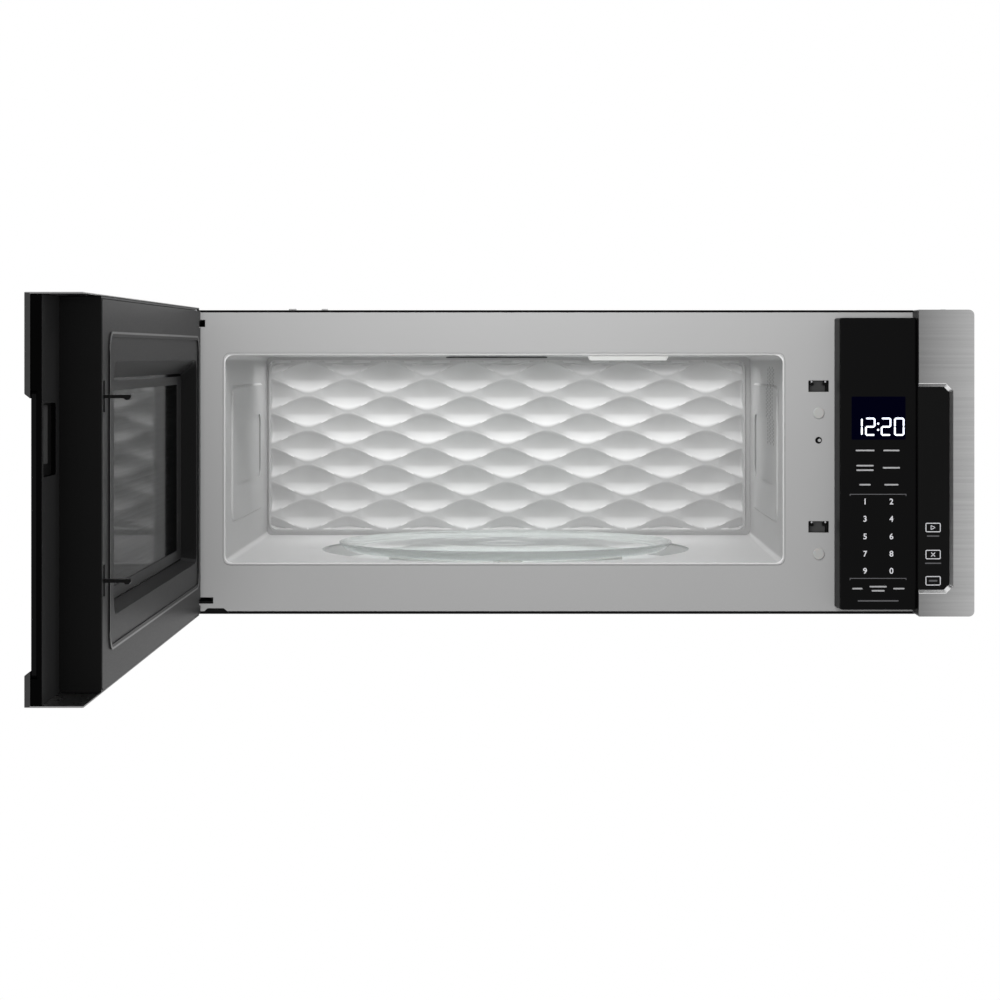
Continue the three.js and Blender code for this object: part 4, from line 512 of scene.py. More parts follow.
# ------------------------------------------------------------------ meshes

WELD = 1e-6
# Angles between faces in degrees: taken as flat, rounded off as an edge, and shaded as sharp
FLAT_ANGLE = 0.4
EDGE_ANGLE = 35.0
SHARP_ANGLE = 50.0


def from_bmesh(name, shape, look=None):
    """A new object at the origin that holds the shape, in the named finish."""
    mesh = bpy.data.meshes.new(name)
    shape.to_mesh(mesh)
    shape.free()
    made = bpy.data.objects.new(name, mesh)
    bpy.context.scene.collection.objects.link(made)
    if look:
        mesh.materials.append(finish(look))
    return made


def bake(made):
    """Turn an object and its modifiers into a plain mesh."""
    graph = bpy.context.evaluated_depsgraph_get()
    mesh = bpy.data.meshes.new_from_object(made.evaluated_get(graph), depsgraph=graph)
    made.modifiers.clear()
    made.data = mesh
    return made


def smooth(made, angle):
    """Smooth shading up to an angle between faces."""
    for face in made.data.polygons:
        face.use_smooth = True
    made.data.set_sharp_from_angle(angle=math.radians(angle))
    return made


def settle(made, body, slot, *nodes):
    """Put a finished piece on its body and hide the nodes that it stands for. The slot is not used.
    """
    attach(made, body)
    if nodes:
        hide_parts(*nodes)
    return made


def node_slot(node):
    """The material slot that the record gives a node."""
    for entry in frame["record"]["subparts"]:
        if entry["node"] == node:
            return entry["material_slot"]
    raise RuntimeError(f"no slot for {node}")


def node_body(node):
    return frame["nodes"][node]["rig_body"]


def repaint(node, look):
    """Give a node of the frame its finish."""
    data = frame["nodes"][node].data
    data.materials.clear()
    data.materials.append(finish(look))


def eased(node, width, look, segments=2):
    """A copy of a node with its faces merged and its edges rounded, standing for the node."""
    shape = bmesh.new()
    shape.from_mesh(frame["nodes"][node].data)
    bmesh.ops.remove_doubles(shape, verts=shape.verts, dist=WELD)
    bmesh.ops.dissolve_limit(
        shape, angle_limit=math.radians(FLAT_ANGLE), verts=shape.verts, edges=shape.edges
    )
    made = from_bmesh(f"{node}_eased", shape, look)
    rounding = made.modifiers.new("edges", "BEVEL")
    rounding.width = width
    rounding.segments = segments
    rounding.limit_method = "ANGLE"
    rounding.angle_limit = math.radians(EDGE_ANGLE)
    rounding.use_clamp_overlap = True
    rounding.harden_normals = False
    weighting = made.modifiers.new("shading", "WEIGHTED_NORMAL")
    weighting.keep_sharp = True
    smooth(made, SHARP_ANGLE)
    bake(made)
    return settle(made, node_body(node), node_slot(node), node)


def add_finish(made, look, chosen):
    """Give the chosen faces of a finished piece a second finish."""
    made.data.materials.append(finish(look))
    for face in made.data.polygons:
        if chosen(face):
            face.material_index = 1


def fixed(name, shape, look, body, slot):
    """An object made from plates and frames, with its faces turned outwards, on its body."""
    bmesh.ops.recalc_face_normals(shape, faces=shape.faces)
    return settle(from_bmesh(name, shape, look), body, slot)


def along(span, share):
    """The place at a share of the way from the first end of a span to the second."""
    return span[0] + (span[1] - span[0]) * share


def ring_points(x0, x1, z0, z1, radius, steps=6):
    """Outline of a rectangle with round corners, anticlockwise as seen from the front."""
    centres = [(x1 - radius, z1 - radius), (x0 + radius, z1 - radius)]
    centres += [(x0 + radius, z0 + radius), (x1 - radius, z0 + radius)]
    points = []
    for quarter, (cx, cz) in enumerate(centres):
        for step in range(steps + 1):
            angle = math.pi / 2 * (quarter + step / steps)
            points.append((cx + radius * math.cos(angle), cz + radius * math.sin(angle)))
    return points


def dot_points(x, z, half, share, steps):
    """Outline of a nearly round dot. The share of its half width goes into its corners."""
    return ring_points(x - half, x + half, z - half, z + half, half * share, steps)


def add_plate(shape, points, front, back):
    """Add a flat plate with the outline of the given (x, z) points to a shape."""
    near = [shape.verts.new((x, front, z)) for x, z in points]
    far = [shape.verts.new((x, back, z)) for x, z in points]
    shape.faces.new(near)
    shape.faces.new(reversed(far))
    for i, vert in enumerate(near):
        nxt = (i + 1) % len(near)
        shape.faces.new((vert, far[i], far[nxt], near[nxt]))


def add_frame(shape, outer, inner, front, back):
    """Add a flat frame between two outlines with as many points each."""
    rows = [
        [shape.verts.new((x, y, z)) for x, z in points]
        for points, y in ((outer, front), (inner, front), (inner, back), (outer, back))
    ]
    for level, row in enumerate(rows):
        above = rows[(level + 1) % len(rows)]
        for i, vert in enumerate(row):
            nxt = (i + 1) % len(row)
            shape.faces.new((vert, above[i], above[nxt], row[nxt]))


def lathed(name, profile, centre, look, steps):
    """A turned piece about an upright axis. The profile is (radius, z) points from axis to axis."""
    shape = bmesh.new()
    rings = []
    for radius, z in profile:
        if radius < 1e-7:
            rings.append([shape.verts.new((centre[0], centre[1], z))])
            continue
        turns = [2 * math.pi * i / steps for i in range(steps)]
        rings.append(
            [
                shape.verts.new(
                    (centre[0] + radius * math.cos(t), centre[1] + radius * math.sin(t), z)
                )
                for t in turns
            ]
        )
    for first, second in zip(rings, rings[1:]):
        for i in range(steps):
            nxt = (i + 1) % steps
            corners = [first[i % len(first)], first[nxt % len(first)]]
            corners += [second[nxt % len(second)], second[i % len(second)]]
            unique = list(dict.fromkeys(corners))
            if len(unique) > 2:
                shape.faces.new(unique)
    bmesh.ops.recalc_face_normals(shape, faces=shape.faces)
    return from_bmesh(name, shape, look)


# ------------------------------------------------------------------ trees that repeat a form

# Corners of neighbouring cells that lie this close are one
CELL_WELD = 0.05 * MM


def give(modifier, values):
    """Set a modifier's inputs by the identifiers of their sockets."""
    for item in modifier.node_group.interface.items_tree:
        if item.item_type == "SOCKET" and item.in_out == "INPUT" and item.name in values:
            modifier[item.identifier] = values[item.name]


def grown(name, tree, values, mesh=None):
    """A plain mesh made by a tree from its named inputs."""
    made = bpy.data.objects.new(name, mesh or bpy.data.meshes.new(name))
    bpy.context.scene.collection.objects.link(made)
    modifier = made.modifiers.new("form", "NODES")
    modifier.node_group = tree
    give(modifier, values)
    return bake(made)


def parted_place(tree):
    """The X, Y and Z of each point of a mesh."""
    place = put(tree, "GeometryNodeInputPosition")
    return put(tree, "ShaderNodeSeparateXYZ", {0: place}).outputs


def finish_tree(tree, geometry, given, result):
    """End a tree in real meshes with one finish."""
    real = put(tree, "GeometryNodeRealizeInstances", {"Geometry": geometry})
    values = {"Geometry": real, "Material": given.outputs["Material"]}
    painted = put(tree, "GeometryNodeSetMaterial", values)
    tree.links.new(painted.outputs["Geometry"], result.inputs["Geometry"])


def close_sheet(tree, first, second, given, result):
    """End a tree in two layers that are welded along their edges."""
    both = put(tree, "GeometryNodeJoinGeometry")
    for layer in (first, second):
        tree.links.new(layer.outputs[0], both.inputs["Geometry"])
    closed = put(tree, "GeometryNodeMergeByDistance", {"Geometry": both, "Distance": WELD})
    finish_tree(tree, closed, given, result)


def perforated_tree():
    """A flat sheet of staggered cells, each with a hole, in the X-Y plane about the origin."""
    name = "perforated_sheet"
    if name in bpy.data.node_groups:
        return bpy.data.node_groups[name]
    inputs = {
        "Width": 0.1, "Height": 0.1, "Pitch": 0.005, "Row Step": 0.0043, "Cell Radius": 0.0029,
        "Stretch": 1.0, "Corners": 6, "Open Share": 0.6, "Thickness": 0.0005,
        "Material": "Material",
    }
    tree, given, result = new_tree(name, "GeometryNodeTree", inputs, GEOMETRY)
    width = Field(tree, given.outputs["Width"])
    height = Field(tree, given.outputs["Height"])
    pitch = Field(tree, given.outputs["Pitch"])
    step = Field(tree, given.outputs["Row Step"])
    columns = (width / pitch).math("FLOOR")
    rows = (height / step).math("FLOOR")
    counts = {"Vertices X": columns, "Vertices Y": rows}
    spans = {"Size X": (columns - 1.0) * pitch, "Size Y": (rows - 1.0) * step}
    grid = put(tree, "GeometryNodeMeshGrid", spans | counts)
    height_of_row = Field(tree, parted_place(tree)["Y"])
    row = (height_of_row / step + (rows - 1.0) * 0.5).math("ROUND")
    shift = (row.math("MODULO", 2.0) - 0.5) * pitch * 0.5
    offset = put(tree, "ShaderNodeCombineXYZ", {"X": shift})
    staggered = put(tree, "GeometryNodeSetPosition", {"Geometry": grid, "Offset": offset})
    values = {"Vertices": given.outputs["Corners"], "Radius": given.outputs["Cell Radius"]}
    disc = put(tree, "GeometryNodeMeshCircle", values, fill_type="NGON")
    values = {"Mesh": disc, "Offset Scale": 0.0}
    inset = put(tree, "GeometryNodeExtrudeMesh", values, mode="FACES")
    top = inset.outputs["Top"]
    values = {"Geometry": inset, "Selection": top, "Scale": given.outputs["Open Share"]}
    opening = put(tree, "GeometryNodeScaleElements", values)
    values = {"Geometry": opening, "Selection": top}
    cell = put(tree, "GeometryNodeDeleteGeometry", values, domain="FACE")
    values = {"X": given.outputs["Stretch"], "Y": 1.0, "Z": 1.0}
    lengthened = put(tree, "ShaderNodeCombineXYZ", values)
    values = {"Points": staggered, "Instance": cell, "Scale": lengthened}
    cells = put(tree, "GeometryNodeInstanceOnPoints", values)
    flat = put(tree, "GeometryNodeRealizeInstances", {"Geometry": cells})
    values = {"Geometry": flat, "Distance": CELL_WELD}
    welded = put(tree, "GeometryNodeMergeByDistance", values)
    values = {"Mesh": welded, "Offset Scale": given.outputs["Thickness"], "Individual": False}
    lifted = put(tree, "GeometryNodeExtrudeMesh", values, mode="FACES")
    under = put(tree, "GeometryNodeFlipFaces", {"Mesh": welded})
    close_sheet(tree, lifted, under, given, result)
    return tree


def scatter_tree():
    """One form on every vertex of a mesh, standing along the vertex's own facing."""
    name = "form_on_points"
    if name in bpy.data.node_groups:
        return bpy.data.node_groups[name]
    inputs = {
        "Geometry": "Geometry", "Form": "Object", "Size": 1.0, "Turn": 0.0, "Seed": 7,
        "Material": "Material",
    }
    tree, given, result = new_tree(name, "GeometryNodeTree", inputs, GEOMETRY)
    values = {"Name": "facing"}
    facing = put(tree, "GeometryNodeInputNamedAttribute", values, data_type="FLOAT_VECTOR")
    values = {2: 0.0, 3: given.outputs["Turn"], "Seed": given.outputs["Seed"]}
    chance = put(tree, "FunctionNodeRandomValue", values, data_type="FLOAT")
    spin = put(tree, "ShaderNodeCombineXYZ", {"Z": chance.outputs[1]})
    stood = put(tree, "FunctionNodeAlignRotationToVector", {"Vector": facing}, axis="Z")
    values = {"Rotation": stood, "Rotate By": spin}
    turned = put(tree, "FunctionNodeRotateRotation", values, rotation_space="LOCAL")
    form = put(tree, "GeometryNodeObjectInfo", {"Object": given.outputs["Form"]})
    values = {"Points": given.outputs["Geometry"], "Instance": form.outputs["Geometry"]}
    values |= {"Rotation": turned, "Scale": given.outputs["Size"]}
    forms = put(tree, "GeometryNodeInstanceOnPoints", values)
    finish_tree(tree, forms, given, result)
    return tree


def scattered(name, form, places, look, turn=0.0):
    """Copies of a form at (point, facing) places. The form itself is taken away."""
    mesh = bpy.data.meshes.new(name)
    mesh.from_pydata([tuple(point) for point, _ in places], [], [])
    facing = mesh.attributes.new("facing", "FLOAT_VECTOR", "POINT")
    for i, (_, direction) in enumerate(places):
        facing.data[i].vector = direction
    values = {"Form": form, "Material": finish(look), "Turn": turn}
    made = grown(name, scatter_tree(), values, mesh)
    bpy.data.objects.remove(form)
    return made


# ------------------------------------------------------------------ quilted rear wall

# Of the press: least gap between two diamonds' rims, breadth over which a dimple fades into the
# border, where a fold's lip starts on the way down a rim, over how much of it, and how it fades
RIM_GAP = 0.3 * MM
BORDER_FADE = 1.2 * MM
LIP_FROM = 0.82
LIP_SPAN = 0.18
LIP_FADE = 0.6
PRESS_WELD = 0.02 * MM


def quilt_tree():
    """Presses the quilt into a flat sheet whose columns and rows are laid out for it.

    The sheet lies in the X-Z plane. Each row's height is drawn to the rims of the diamonds, so
    that the folds are sharp, and each point is then pushed back by its diamond's depth."""
    inputs = {
        "Geometry": "Geometry", "Left": 0.0, "Top": 0.0, "Width": 0.5, "Height": 0.2, "Columns": 6,
        "Levels": 10, "Depth": 0.007, "Neck": 0.0045, "Land": 0.004, "Tip": 0.28,
        "Tip Width": 0.76, "Step In": 0.7, "Crease": 0.35, "Lip": 0.0004, "Border": 0.0025,
        "Corner": 0.009, "Edge": 0.001, "Step": 0.0025, "Front": 0.0, "Rim Share": 0.43,
        "Thickness": 0.0012, "Material": "Material",
    }
    tree, given, result = new_tree("quilted_press", "GeometryNodeTree", inputs, GEOMETRY)

    def value(label):
        return Field(tree, given.outputs[label])

    def rise(field, softness):
        """Grows from 0 at 0 to 1 at 1, level at 0 over a stretch set by the softness."""
        soft = (field * field + softness * softness).math("SQRT") - softness
        full = (softness * softness + 1.0).math("SQRT") - softness
        return soft / full

    place = parted_place(tree)
    x = Field(tree, place["X"])
    z = Field(tree, place["Z"])
    pitch = value("Width") / value("Columns")
    row = value("Height") / value("Levels")
    across = (x - value("Left")) / pitch
    down = (value("Top") - z) / row
    level = (down + 1e-4).math("FLOOR")
    share = (down - level).share()
    odd = level.math("MODULO", 2.0) * 0.5

    def offset_from_diamond(shift):
        """Distance from the nearest diamond's middle, as a share of its half width."""
        nearest = across - shift - (across - shift).math("ROUND")
        half = pitch * 0.5 - value("Land")
        return (nearest.size() * pitch / half).below(1.0)

    here = offset_from_diamond(odd)
    beside = offset_from_diamond(odd + 0.5)
    half_height = row - value("Neck") * 0.5
    reach_here = half_height * rise(here, value("Tip")).flipped()
    reach_beside = half_height * rise(beside, value("Tip")).flipped()
    crowd = ((row - RIM_GAP) / (reach_here + reach_beside).above(1e-5)).below(1.0)
    reach_here = reach_here * crowd
    reach_beside = reach_beside * crowd

    rim = value("Rim Share")
    falling = (share / rim).share()
    neck = ((share - rim) / (rim * -2.0 + 1.0)).share()
    rising = ((share - 1.0 + rim) / rim).share()
    drop = falling * reach_here + neck * (row - reach_here - reach_beside)
    drop = drop + rising * reach_beside

    def hollow(offset, closeness):
        """Depth of a diamond, from its rim at closeness 0 to its crease at closeness 1."""
        peak = rise((offset / value("Tip Width")).below(1.0), value("Tip")).flipped()
        return peak * rise(closeness.flipped(), value("Crease")).flipped()

    depth = hollow(here, falling.flipped()) + hollow(beside, rising ** value("Step In"))
    lip = rise(here, value("Tip")).flipped() ** 0.5
    lip = lip * (falling - LIP_FROM).above(0.0) * (1 / LIP_SPAN) * neck.flipped() ** LIP_FADE
    lip = lip * value("Lip")

    # The first and last level stop at the border.
    first = down.beyond(1e-3)
    last = (down * -1.0 + value("Levels")).beyond(1e-3)
    within = first * last
    top_level = (level.beyond(0.5)).flipped()
    end_level = level.beyond(value("Levels") - 1.5)
    held = top_level.between(drop, drop.above(value("Border")))
    held = end_level.between(held, held.below(row - value("Border")))
    new_z = value("Top") - level * row - held
    new_z = within.between(z, new_z)

    # Distance inside the press's outline, with its round corners.
    middle_x = value("Left") + value("Width") * 0.5
    middle_z = value("Top") - value("Height") * 0.5
    inner_w = value("Width") * 0.5 - value("Corner")
    inner_h = value("Height") * 0.5 - value("Corner")
    side_x = (x - middle_x).math("SIGN")
    side_z = (new_z - middle_z).math("SIGN")
    out_x = (x - middle_x).size() - inner_w
    out_z = (new_z - middle_z).size() - inner_h
    corner_x = out_x.above(0.0)
    corner_z = out_z.above(0.0)
    length = (corner_x * corner_x + corner_z * corner_z).math("SQRT").above(1e-6)
    square = corner_x.above(corner_z)
    pull = square / length
    moved_x = x + side_x * corner_x * (pull - 1.0)
    moved_z = new_z + side_z * corner_z * (pull - 1.0)
    inside = value("Corner") - out_x.above(out_z)

    border_mask = ((inside - value("Border")) / BORDER_FADE).share()
    edge = (inside / value("Edge")).share().flipped()
    fall = (edge * edge * -1.0 + 1.0).above(0.0).math("SQRT").flipped() * value("Edge")
    raised = inside.beyond(-1e-5)
    pressed = value("Front") + fall + (depth * value("Depth") - lip) * border_mask
    flange = value("Front") + value("Step")
    new_y = raised.between(flange, pressed)

    at = put(tree, "ShaderNodeCombineXYZ", {"X": moved_x, "Y": new_y, "Z": moved_z})
    values = {"Geometry": given.outputs["Geometry"], "Position": at}
    formed = put(tree, "GeometryNodeSetPosition", values)
    values = {"Geometry": formed, "Distance": PRESS_WELD}
    cleaned = put(tree, "GeometryNodeMergeByDistance", values)
    back = put(tree, "ShaderNodeCombineXYZ", {"Y": given.outputs["Thickness"]})
    values = {"Mesh": cleaned, "Offset": back, "Offset Scale": 1.0, "Individual": False}
    behind = put(tree, "GeometryNodeExtrudeMesh", values, mode="FACES")
    turned = put(tree, "GeometryNodeFlipFaces", {"Mesh": behind})
    close_sheet(tree, turned, cleaned, given, result)
    return tree


# Lines of the sheet that is pressed: across a diamond, down a diamond's rim and down a neck,
# those that round its outer edge, and the gap to the first line of the flange
LINES_PER_DIAMOND = 50
RIM_LINES = 6
NECK_LINES = 2
EDGE_LINES = (0.0, 0.3 * MM, 0.65 * MM, 1.0 * MM)
FLANGE_GAP = 0.4 * MM
# Lines that stand this many borders inside the edge belong to the even ones
EVEN_FROM = 1.2


def quilt_blank(flange, x_span, z_span, levels, columns):
    """The flat sheet before pressing: outline columns and rows, then even ones inside."""
    border = sizes().quilt_border
    edges = [*EDGE_LINES, border]
    low, high = flange
    count = columns * LINES_PER_DIAMOND
    even = [x_span[0] + (x_span[1] - x_span[0]) * i / count for i in range(1, count)]
    margin = EVEN_FROM * border
    xs = [low.x, x_span[0] - FLANGE_GAP] + [x_span[0] + step for step in edges]
    xs += [x for x in even if x_span[0] + margin < x < x_span[1] - margin]
    xs += [x_span[1] - step for step in reversed(edges)] + [x_span[1] + FLANGE_GAP, high.x]
    row = (z_span[1] - z_span[0]) / levels
    per_level = 2 * RIM_LINES + NECK_LINES
    zs = [high.z, z_span[1] + FLANGE_GAP, z_span[1]]
    zs += [z_span[1] - row * i / per_level for i in range(1, levels * per_level)]
    zs += [z_span[0], z_span[0] - FLANGE_GAP, low.z]
    shape = bmesh.new()
    lines = [[shape.verts.new((x, low.y, z)) for x in xs] for z in zs]
    for upper, lower in zip(lines, lines[1:]):
        for i in range(len(xs) - 1):
            shape.faces.new((upper[i], lower[i], lower[i + 1], upper[i + 1]))
    mesh = bpy.data.meshes.new("quilt_blank")
    shape.to_mesh(mesh)
    shape.free()
    return mesh, RIM_LINES / per_level


class MICROWAVE_OT_quilted_wall(bpy.types.Operator):
    """Press the quilted rear wall of the cavity"""

    bl_idname = "microwave.quilted_wall"
    bl_label = "Quilted Rear Wall"

    def execute(self, context):
        size = sizes()
        low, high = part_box("cavity_back")
        x_span = (low.x + QUILT_FROM_LEFT, high.x - QUILT_FROM_RIGHT)
        z_span = (low.z + QUILT_FROM_FOOT, high.z - QUILT_FROM_HEAD)
        blank, rim_share = quilt_blank(
            (low, high), x_span, z_span, size.quilt_levels, size.quilt_columns
        )
        values = {
            "Left": x_span[0],
            "Top": z_span[1],
            "Width": x_span[1] - x_span[0],
            "Height": z_span[1] - z_span[0],
            "Columns": size.quilt_columns,
            "Levels": size.quilt_levels,
            "Depth": size.quilt_depth,
            "Neck": size.quilt_neck,
            "Lip": size.quilt_lip,
            "Border": size.quilt_border,
            "Corner": size.quilt_corner,
            "Front": low.y + size.quilt_lip,
            "Rim Share": rim_share,
            "Material": finish("pale_cavity_enamel"),
        }
        wall = grown("quilted_wall", quilt_tree(), values, blank)
        smooth(wall, SHARP_ANGLE)
        settle(wall, "root", "white_enamel", "cavity_back")
        return {"FINISHED"}


# ------------------------------------------------------------------ cabinet and cavity

EASED_EDGES = {
    "outer_cover": (0.45 * MM, "black_powder_coat"),
    "base_pan": (0.3 * MM, "black_powder_coat"),
    "front_plate": (0.35 * MM, "grey_front_enamel"),
    "cavity_shell": (0.5 * MM, "pale_cavity_enamel"),
    "cavity_lamp_cover": (0.6 * MM, "lit_lamp_lens"),
    # Painted shade: the waveguide cover is a dark copy of the mica
    "waveguide_cover": (0.3 * MM, "dark_mica_sheet"),
    "hinge_upper": (0.4 * MM, "black_powder_coat"),
    "hinge_lower": (0.4 * MM, "black_powder_coat"),
    "latch_keeper": (0.4 * MM, "black_moulding"),
    "rear_panel": (0.3 * MM, "zinc_coated_sheet"),
    "wall_plate": (0.3 * MM, "zinc_coated_sheet"),
    "cord_grommet": (0.5 * MM, "black_moulding"),
    "damper_frame": (0.4 * MM, "black_moulding"),
    "damper_flap": (0.2 * MM, "zinc_coated_sheet"),
    "task_lens_left": (0.6 * MM, "pale_nylon"),
    "task_lens_right": (0.6 * MM, "pale_nylon"),
    "grease_filter_left": (0.4 * MM, "zinc_coated_sheet"),
    "grease_filter_right": (0.4 * MM, "zinc_coated_sheet"),
}
# The cover's faces above this height belong to its two tabs
TAB_Z = 144.5 * MM
PLUG_EDGE = 0.5 * MM


class MICROWAVE_OT_cabinet(bpy.types.Operator):
    """Round the edges of the cabinet, the cavity shell and the hood's openings"""

    bl_idname = "microwave.cabinet"
    bl_label = "Cabinet and Cavity"

    def execute(self, context):
        made = {
            node: eased(node, width, look) for node, (width, look) in EASED_EDGES.items()
        }
        add_finish(made["outer_cover"], "pale_tab_zinc", lambda face: face.center.z > TAB_Z)
        return {"FINISHED"}


class MICROWAVE_OT_plugs(bpy.types.Operator):
    """Round the two push-in plugs of the latch column"""

    bl_idname = "microwave.plugs"
    bl_label = "Push-in Plugs"

    def execute(self, context):
        for node in ("hole_plug_upper", "hole_plug_lower"):
            eased(node, PLUG_EDGE, "pale_nylon", segments=3)
        return {"FINISHED"}


# The latch catches: their middle beside the keeper's, the stop plate's face, size and thickness,
# and the lugs' face and length
CATCH_FROM_MIDDLE = 1.0 * MM
CATCH_BACK_Y = -395.4 * MM
CATCH_PLATE = 0.8 * MM
CATCH_FRONT_Y = -417.6 * MM
LUG_LENGTH = 9.0 * MM
RIVET_HIGHLIGHT_DEPTH = mm(-0.2, 0.1)
CATCH_HALF_W = 8.3 * MM
CATCH_HALF_H = 10.0 * MM
CATCH_SLOTS_Z = mm(71.2, -60.9)
# Half outline of a lug and place and radius of its rivet, a white dot of painted highlight, from
# the middle of its slot
LUG_OUTLINE = (
    mm(8.3, 6.6),
    mm(8.3, 1.2),
    mm(6.2, 0.4),
    mm(4.5, 0.9),
    mm(4.5, 2.6),
    mm(5.3, 3.8),
    mm(5.3, 6.6),
)
RIVET_HIGHLIGHT = mm(6.4, 4.3, 0.85)
# The fold round the cavity's mouth: its outline, corner and width, and how far it stands before the
# front plate and reaches into it. Its enamel is much lighter than the cavity's, a painted highlight
# along the rounded fold
MOUTH_X = mm(-318.6, 207.6)
MOUTH_Z = mm(-96.0, 101.7)
MOUTH_CORNER = 9.0 * MM
MOUTH_LINE = 1.3 * MM
MOUTH_DEPTH = mm(-0.25, 0.3)
# Place and radius of the pin in the sight hole, and its two ends behind the plate's face
SIGHT_PIN = mm(240.7, 20.4, 1.5)
SIGHT_PIN_DEPTH = mm(0.3, 1.6)


class MICROWAVE_OT_front_details(bpy.types.Operator):
    """Add the fold round the cavity's mouth, painted light as its highlight, and the pin in the
    sight hole
    """

    bl_idname = "microwave.front_details"
    bl_label = "Mouth Fold and Sight Pin"

    def execute(self, context):
        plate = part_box("front_plate")[0].y
        fold = bmesh.new()
        outer = ring_points(*MOUTH_X, *MOUTH_Z, MOUTH_CORNER)
        inner = ring_points(
            MOUTH_X[0] + MOUTH_LINE, MOUTH_X[1] - MOUTH_LINE,
            MOUTH_Z[0] + MOUTH_LINE, MOUTH_Z[1] - MOUTH_LINE, MOUTH_CORNER - MOUTH_LINE,
        )
        add_frame(fold, outer, inner, plate + MOUTH_DEPTH[0], plate + MOUTH_DEPTH[1])
        fixed("mouth_fold", fold, "bright_fold_enamel", "root", "grey_enamel")
        pin = bmesh.new()
        x, z, radius = SIGHT_PIN
        rim = dot_points(x, z, radius, 0.98, 4)
        add_plate(pin, rim, plate + SIGHT_PIN_DEPTH[0], plate + SIGHT_PIN_DEPTH[1])
        fixed("sight_pin", pin, "grey_front_enamel", "root", "black_plastic")
        return {"FINISHED"}


class MICROWAVE_OT_catches(bpy.types.Operator):
    """Set a grey stop plate and two dark lugs behind every latch slot, each lug with a white rivet
    as a painted highlight
    """

    bl_idname = "microwave.catches"
    bl_label = "Latch Catches"

    def execute(self, context):
        low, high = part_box("latch_keeper")
        x = (low.x + high.x) / 2 + CATCH_FROM_MIDDLE
        plates, lugs, highlight_dots = bmesh.new(), bmesh.new(), bmesh.new()
        for z in CATCH_SLOTS_Z:
            rim = ring_points(
                x - CATCH_HALF_W, x + CATCH_HALF_W, z - CATCH_HALF_H, z + CATCH_HALF_H, 0.5 * MM, 2
            )
            add_plate(plates, rim, CATCH_BACK_Y, CATCH_BACK_Y + CATCH_PLATE)
            for side in (-1, 1):
                corner = [(x + side * across, z + up) for across, up in LUG_OUTLINE]
                add_plate(lugs, corner, CATCH_FRONT_Y, CATCH_FRONT_Y + LUG_LENGTH)
                spot = dot_points(x + side * RIVET_HIGHLIGHT[0], z + RIVET_HIGHLIGHT[1], RIVET_HIGHLIGHT[2], 0.95, 3)
                add_plate(highlight_dots, spot, *(CATCH_FRONT_Y + depth for depth in RIVET_HIGHLIGHT_DEPTH))
        # The rivets are white print, a painted highlight
        for name, shape, look in (
            ("catch_stop_plates", plates, "dull_zinc"),
            ("catch_lugs", lugs, "black_moulding"),
            ("catch_rivets", highlight_dots, "white_print"),
        ):
            fixed(name, shape, look, "root", "black_plastic")
        return {"FINISHED"}


AIR_HOLES_Y = mm(-320, -255)
AIR_HOLES_Z = mm(13.5, 87.5)
AIR_HOLE_COLUMNS = 5
AIR_HOLE_ROWS = 20
AIR_HOLE_RADIUS = 1.35 * MM
# Half section of a hole's raised rim, as shares of its radius and heights over the wall
AIR_HOLE_SECTION = ((0, 0), (0.75, 0), (0.85, 0.12 * MM), (1, 0.12 * MM))
AIR_HOLE_SECTION += ((1.05, -0.1 * MM), (0, -0.1 * MM))


class MICROWAVE_OT_air_holes(bpy.types.Operator):
    """Set the staggered air holes on the cavity's right wall as closed discs, whose dark grey is
    painted shade for the holes' insides
    """

    bl_idname = "microwave.air_holes"
    bl_label = "Cavity Air Holes"

    def execute(self, context):
        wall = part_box("cavity_shell")
        depsgraph = context.evaluated_depsgraph_get()
        start_x = (wall[0].x + wall[1].x) / 2
        places = []
        for column in range(AIR_HOLE_COLUMNS):
            for row in range(AIR_HOLE_ROWS):
                y = along(AIR_HOLES_Y, column / (AIR_HOLE_COLUMNS - 1))
                z = along(AIR_HOLES_Z, (row + 0.5 * (column % 2)) / (AIR_HOLE_ROWS - 0.5))
                hit = context.scene.ray_cast(depsgraph, (start_x, y, z), (1, 0, 0))
                if not hit[0]:
                    raise RuntimeError("the cavity's right wall isn't there")
                places.append((hit[1], (-1, 0, 0)))
        profile = [(AIR_HOLE_RADIUS * share, height) for share, height in AIR_HOLE_SECTION]
        form = lathed("air_hole", profile, (0, 0), None, 10)
        # Painted shade: each hole is a closed dark grey disc
        made = scattered("wall_air_holes", form, places, "dull_zinc")
        settle(made, "root", "white_enamel")
        return {"FINISHED"}


# ------------------------------------------------------------------ turntable

TRAY_THICKNESS = 5.0 * MM
# Half section of the tray from its middle round its rim and back: share of the radius, inset
# from there, and height over or under the foot, the floor or the head
TRAY_SECTION = (
    (0, 0, "foot", 0.6 * MM),
    (0.20, 0, "foot", 0.6 * MM),
    (0.215, 0, "foot", 0),
    (0.88, 0, "foot", 0),
    (0.93, 0, "foot", 1.0 * MM),
    (0.965, 0, "foot", 3.2 * MM),
    (1, 0.4 * MM, "head", -2.6 * MM),
    (1, 0, "head", -1.4 * MM),
    (1, 0.35 * MM, "head", -0.4 * MM),
    (1, 1.4 * MM, "head", 0),
    (1, 2.6 * MM, "head", -0.35 * MM),
    (1, 3.6 * MM, "head", -1.4 * MM),
    (0.945, 0, "floor", 1.7 * MM),
    (0.92, 0, "floor", 0.5 * MM),
    (0.89, 0, "floor", 0),
    (0.30, 0, "floor", 0),
    (0.285, 0, "floor", -0.5 * MM),
    (0, 0, "floor", -0.5 * MM),
)
TRAY_SHARP_ANGLE = 60.0
ROLLER_EDGE = 0.3 * MM


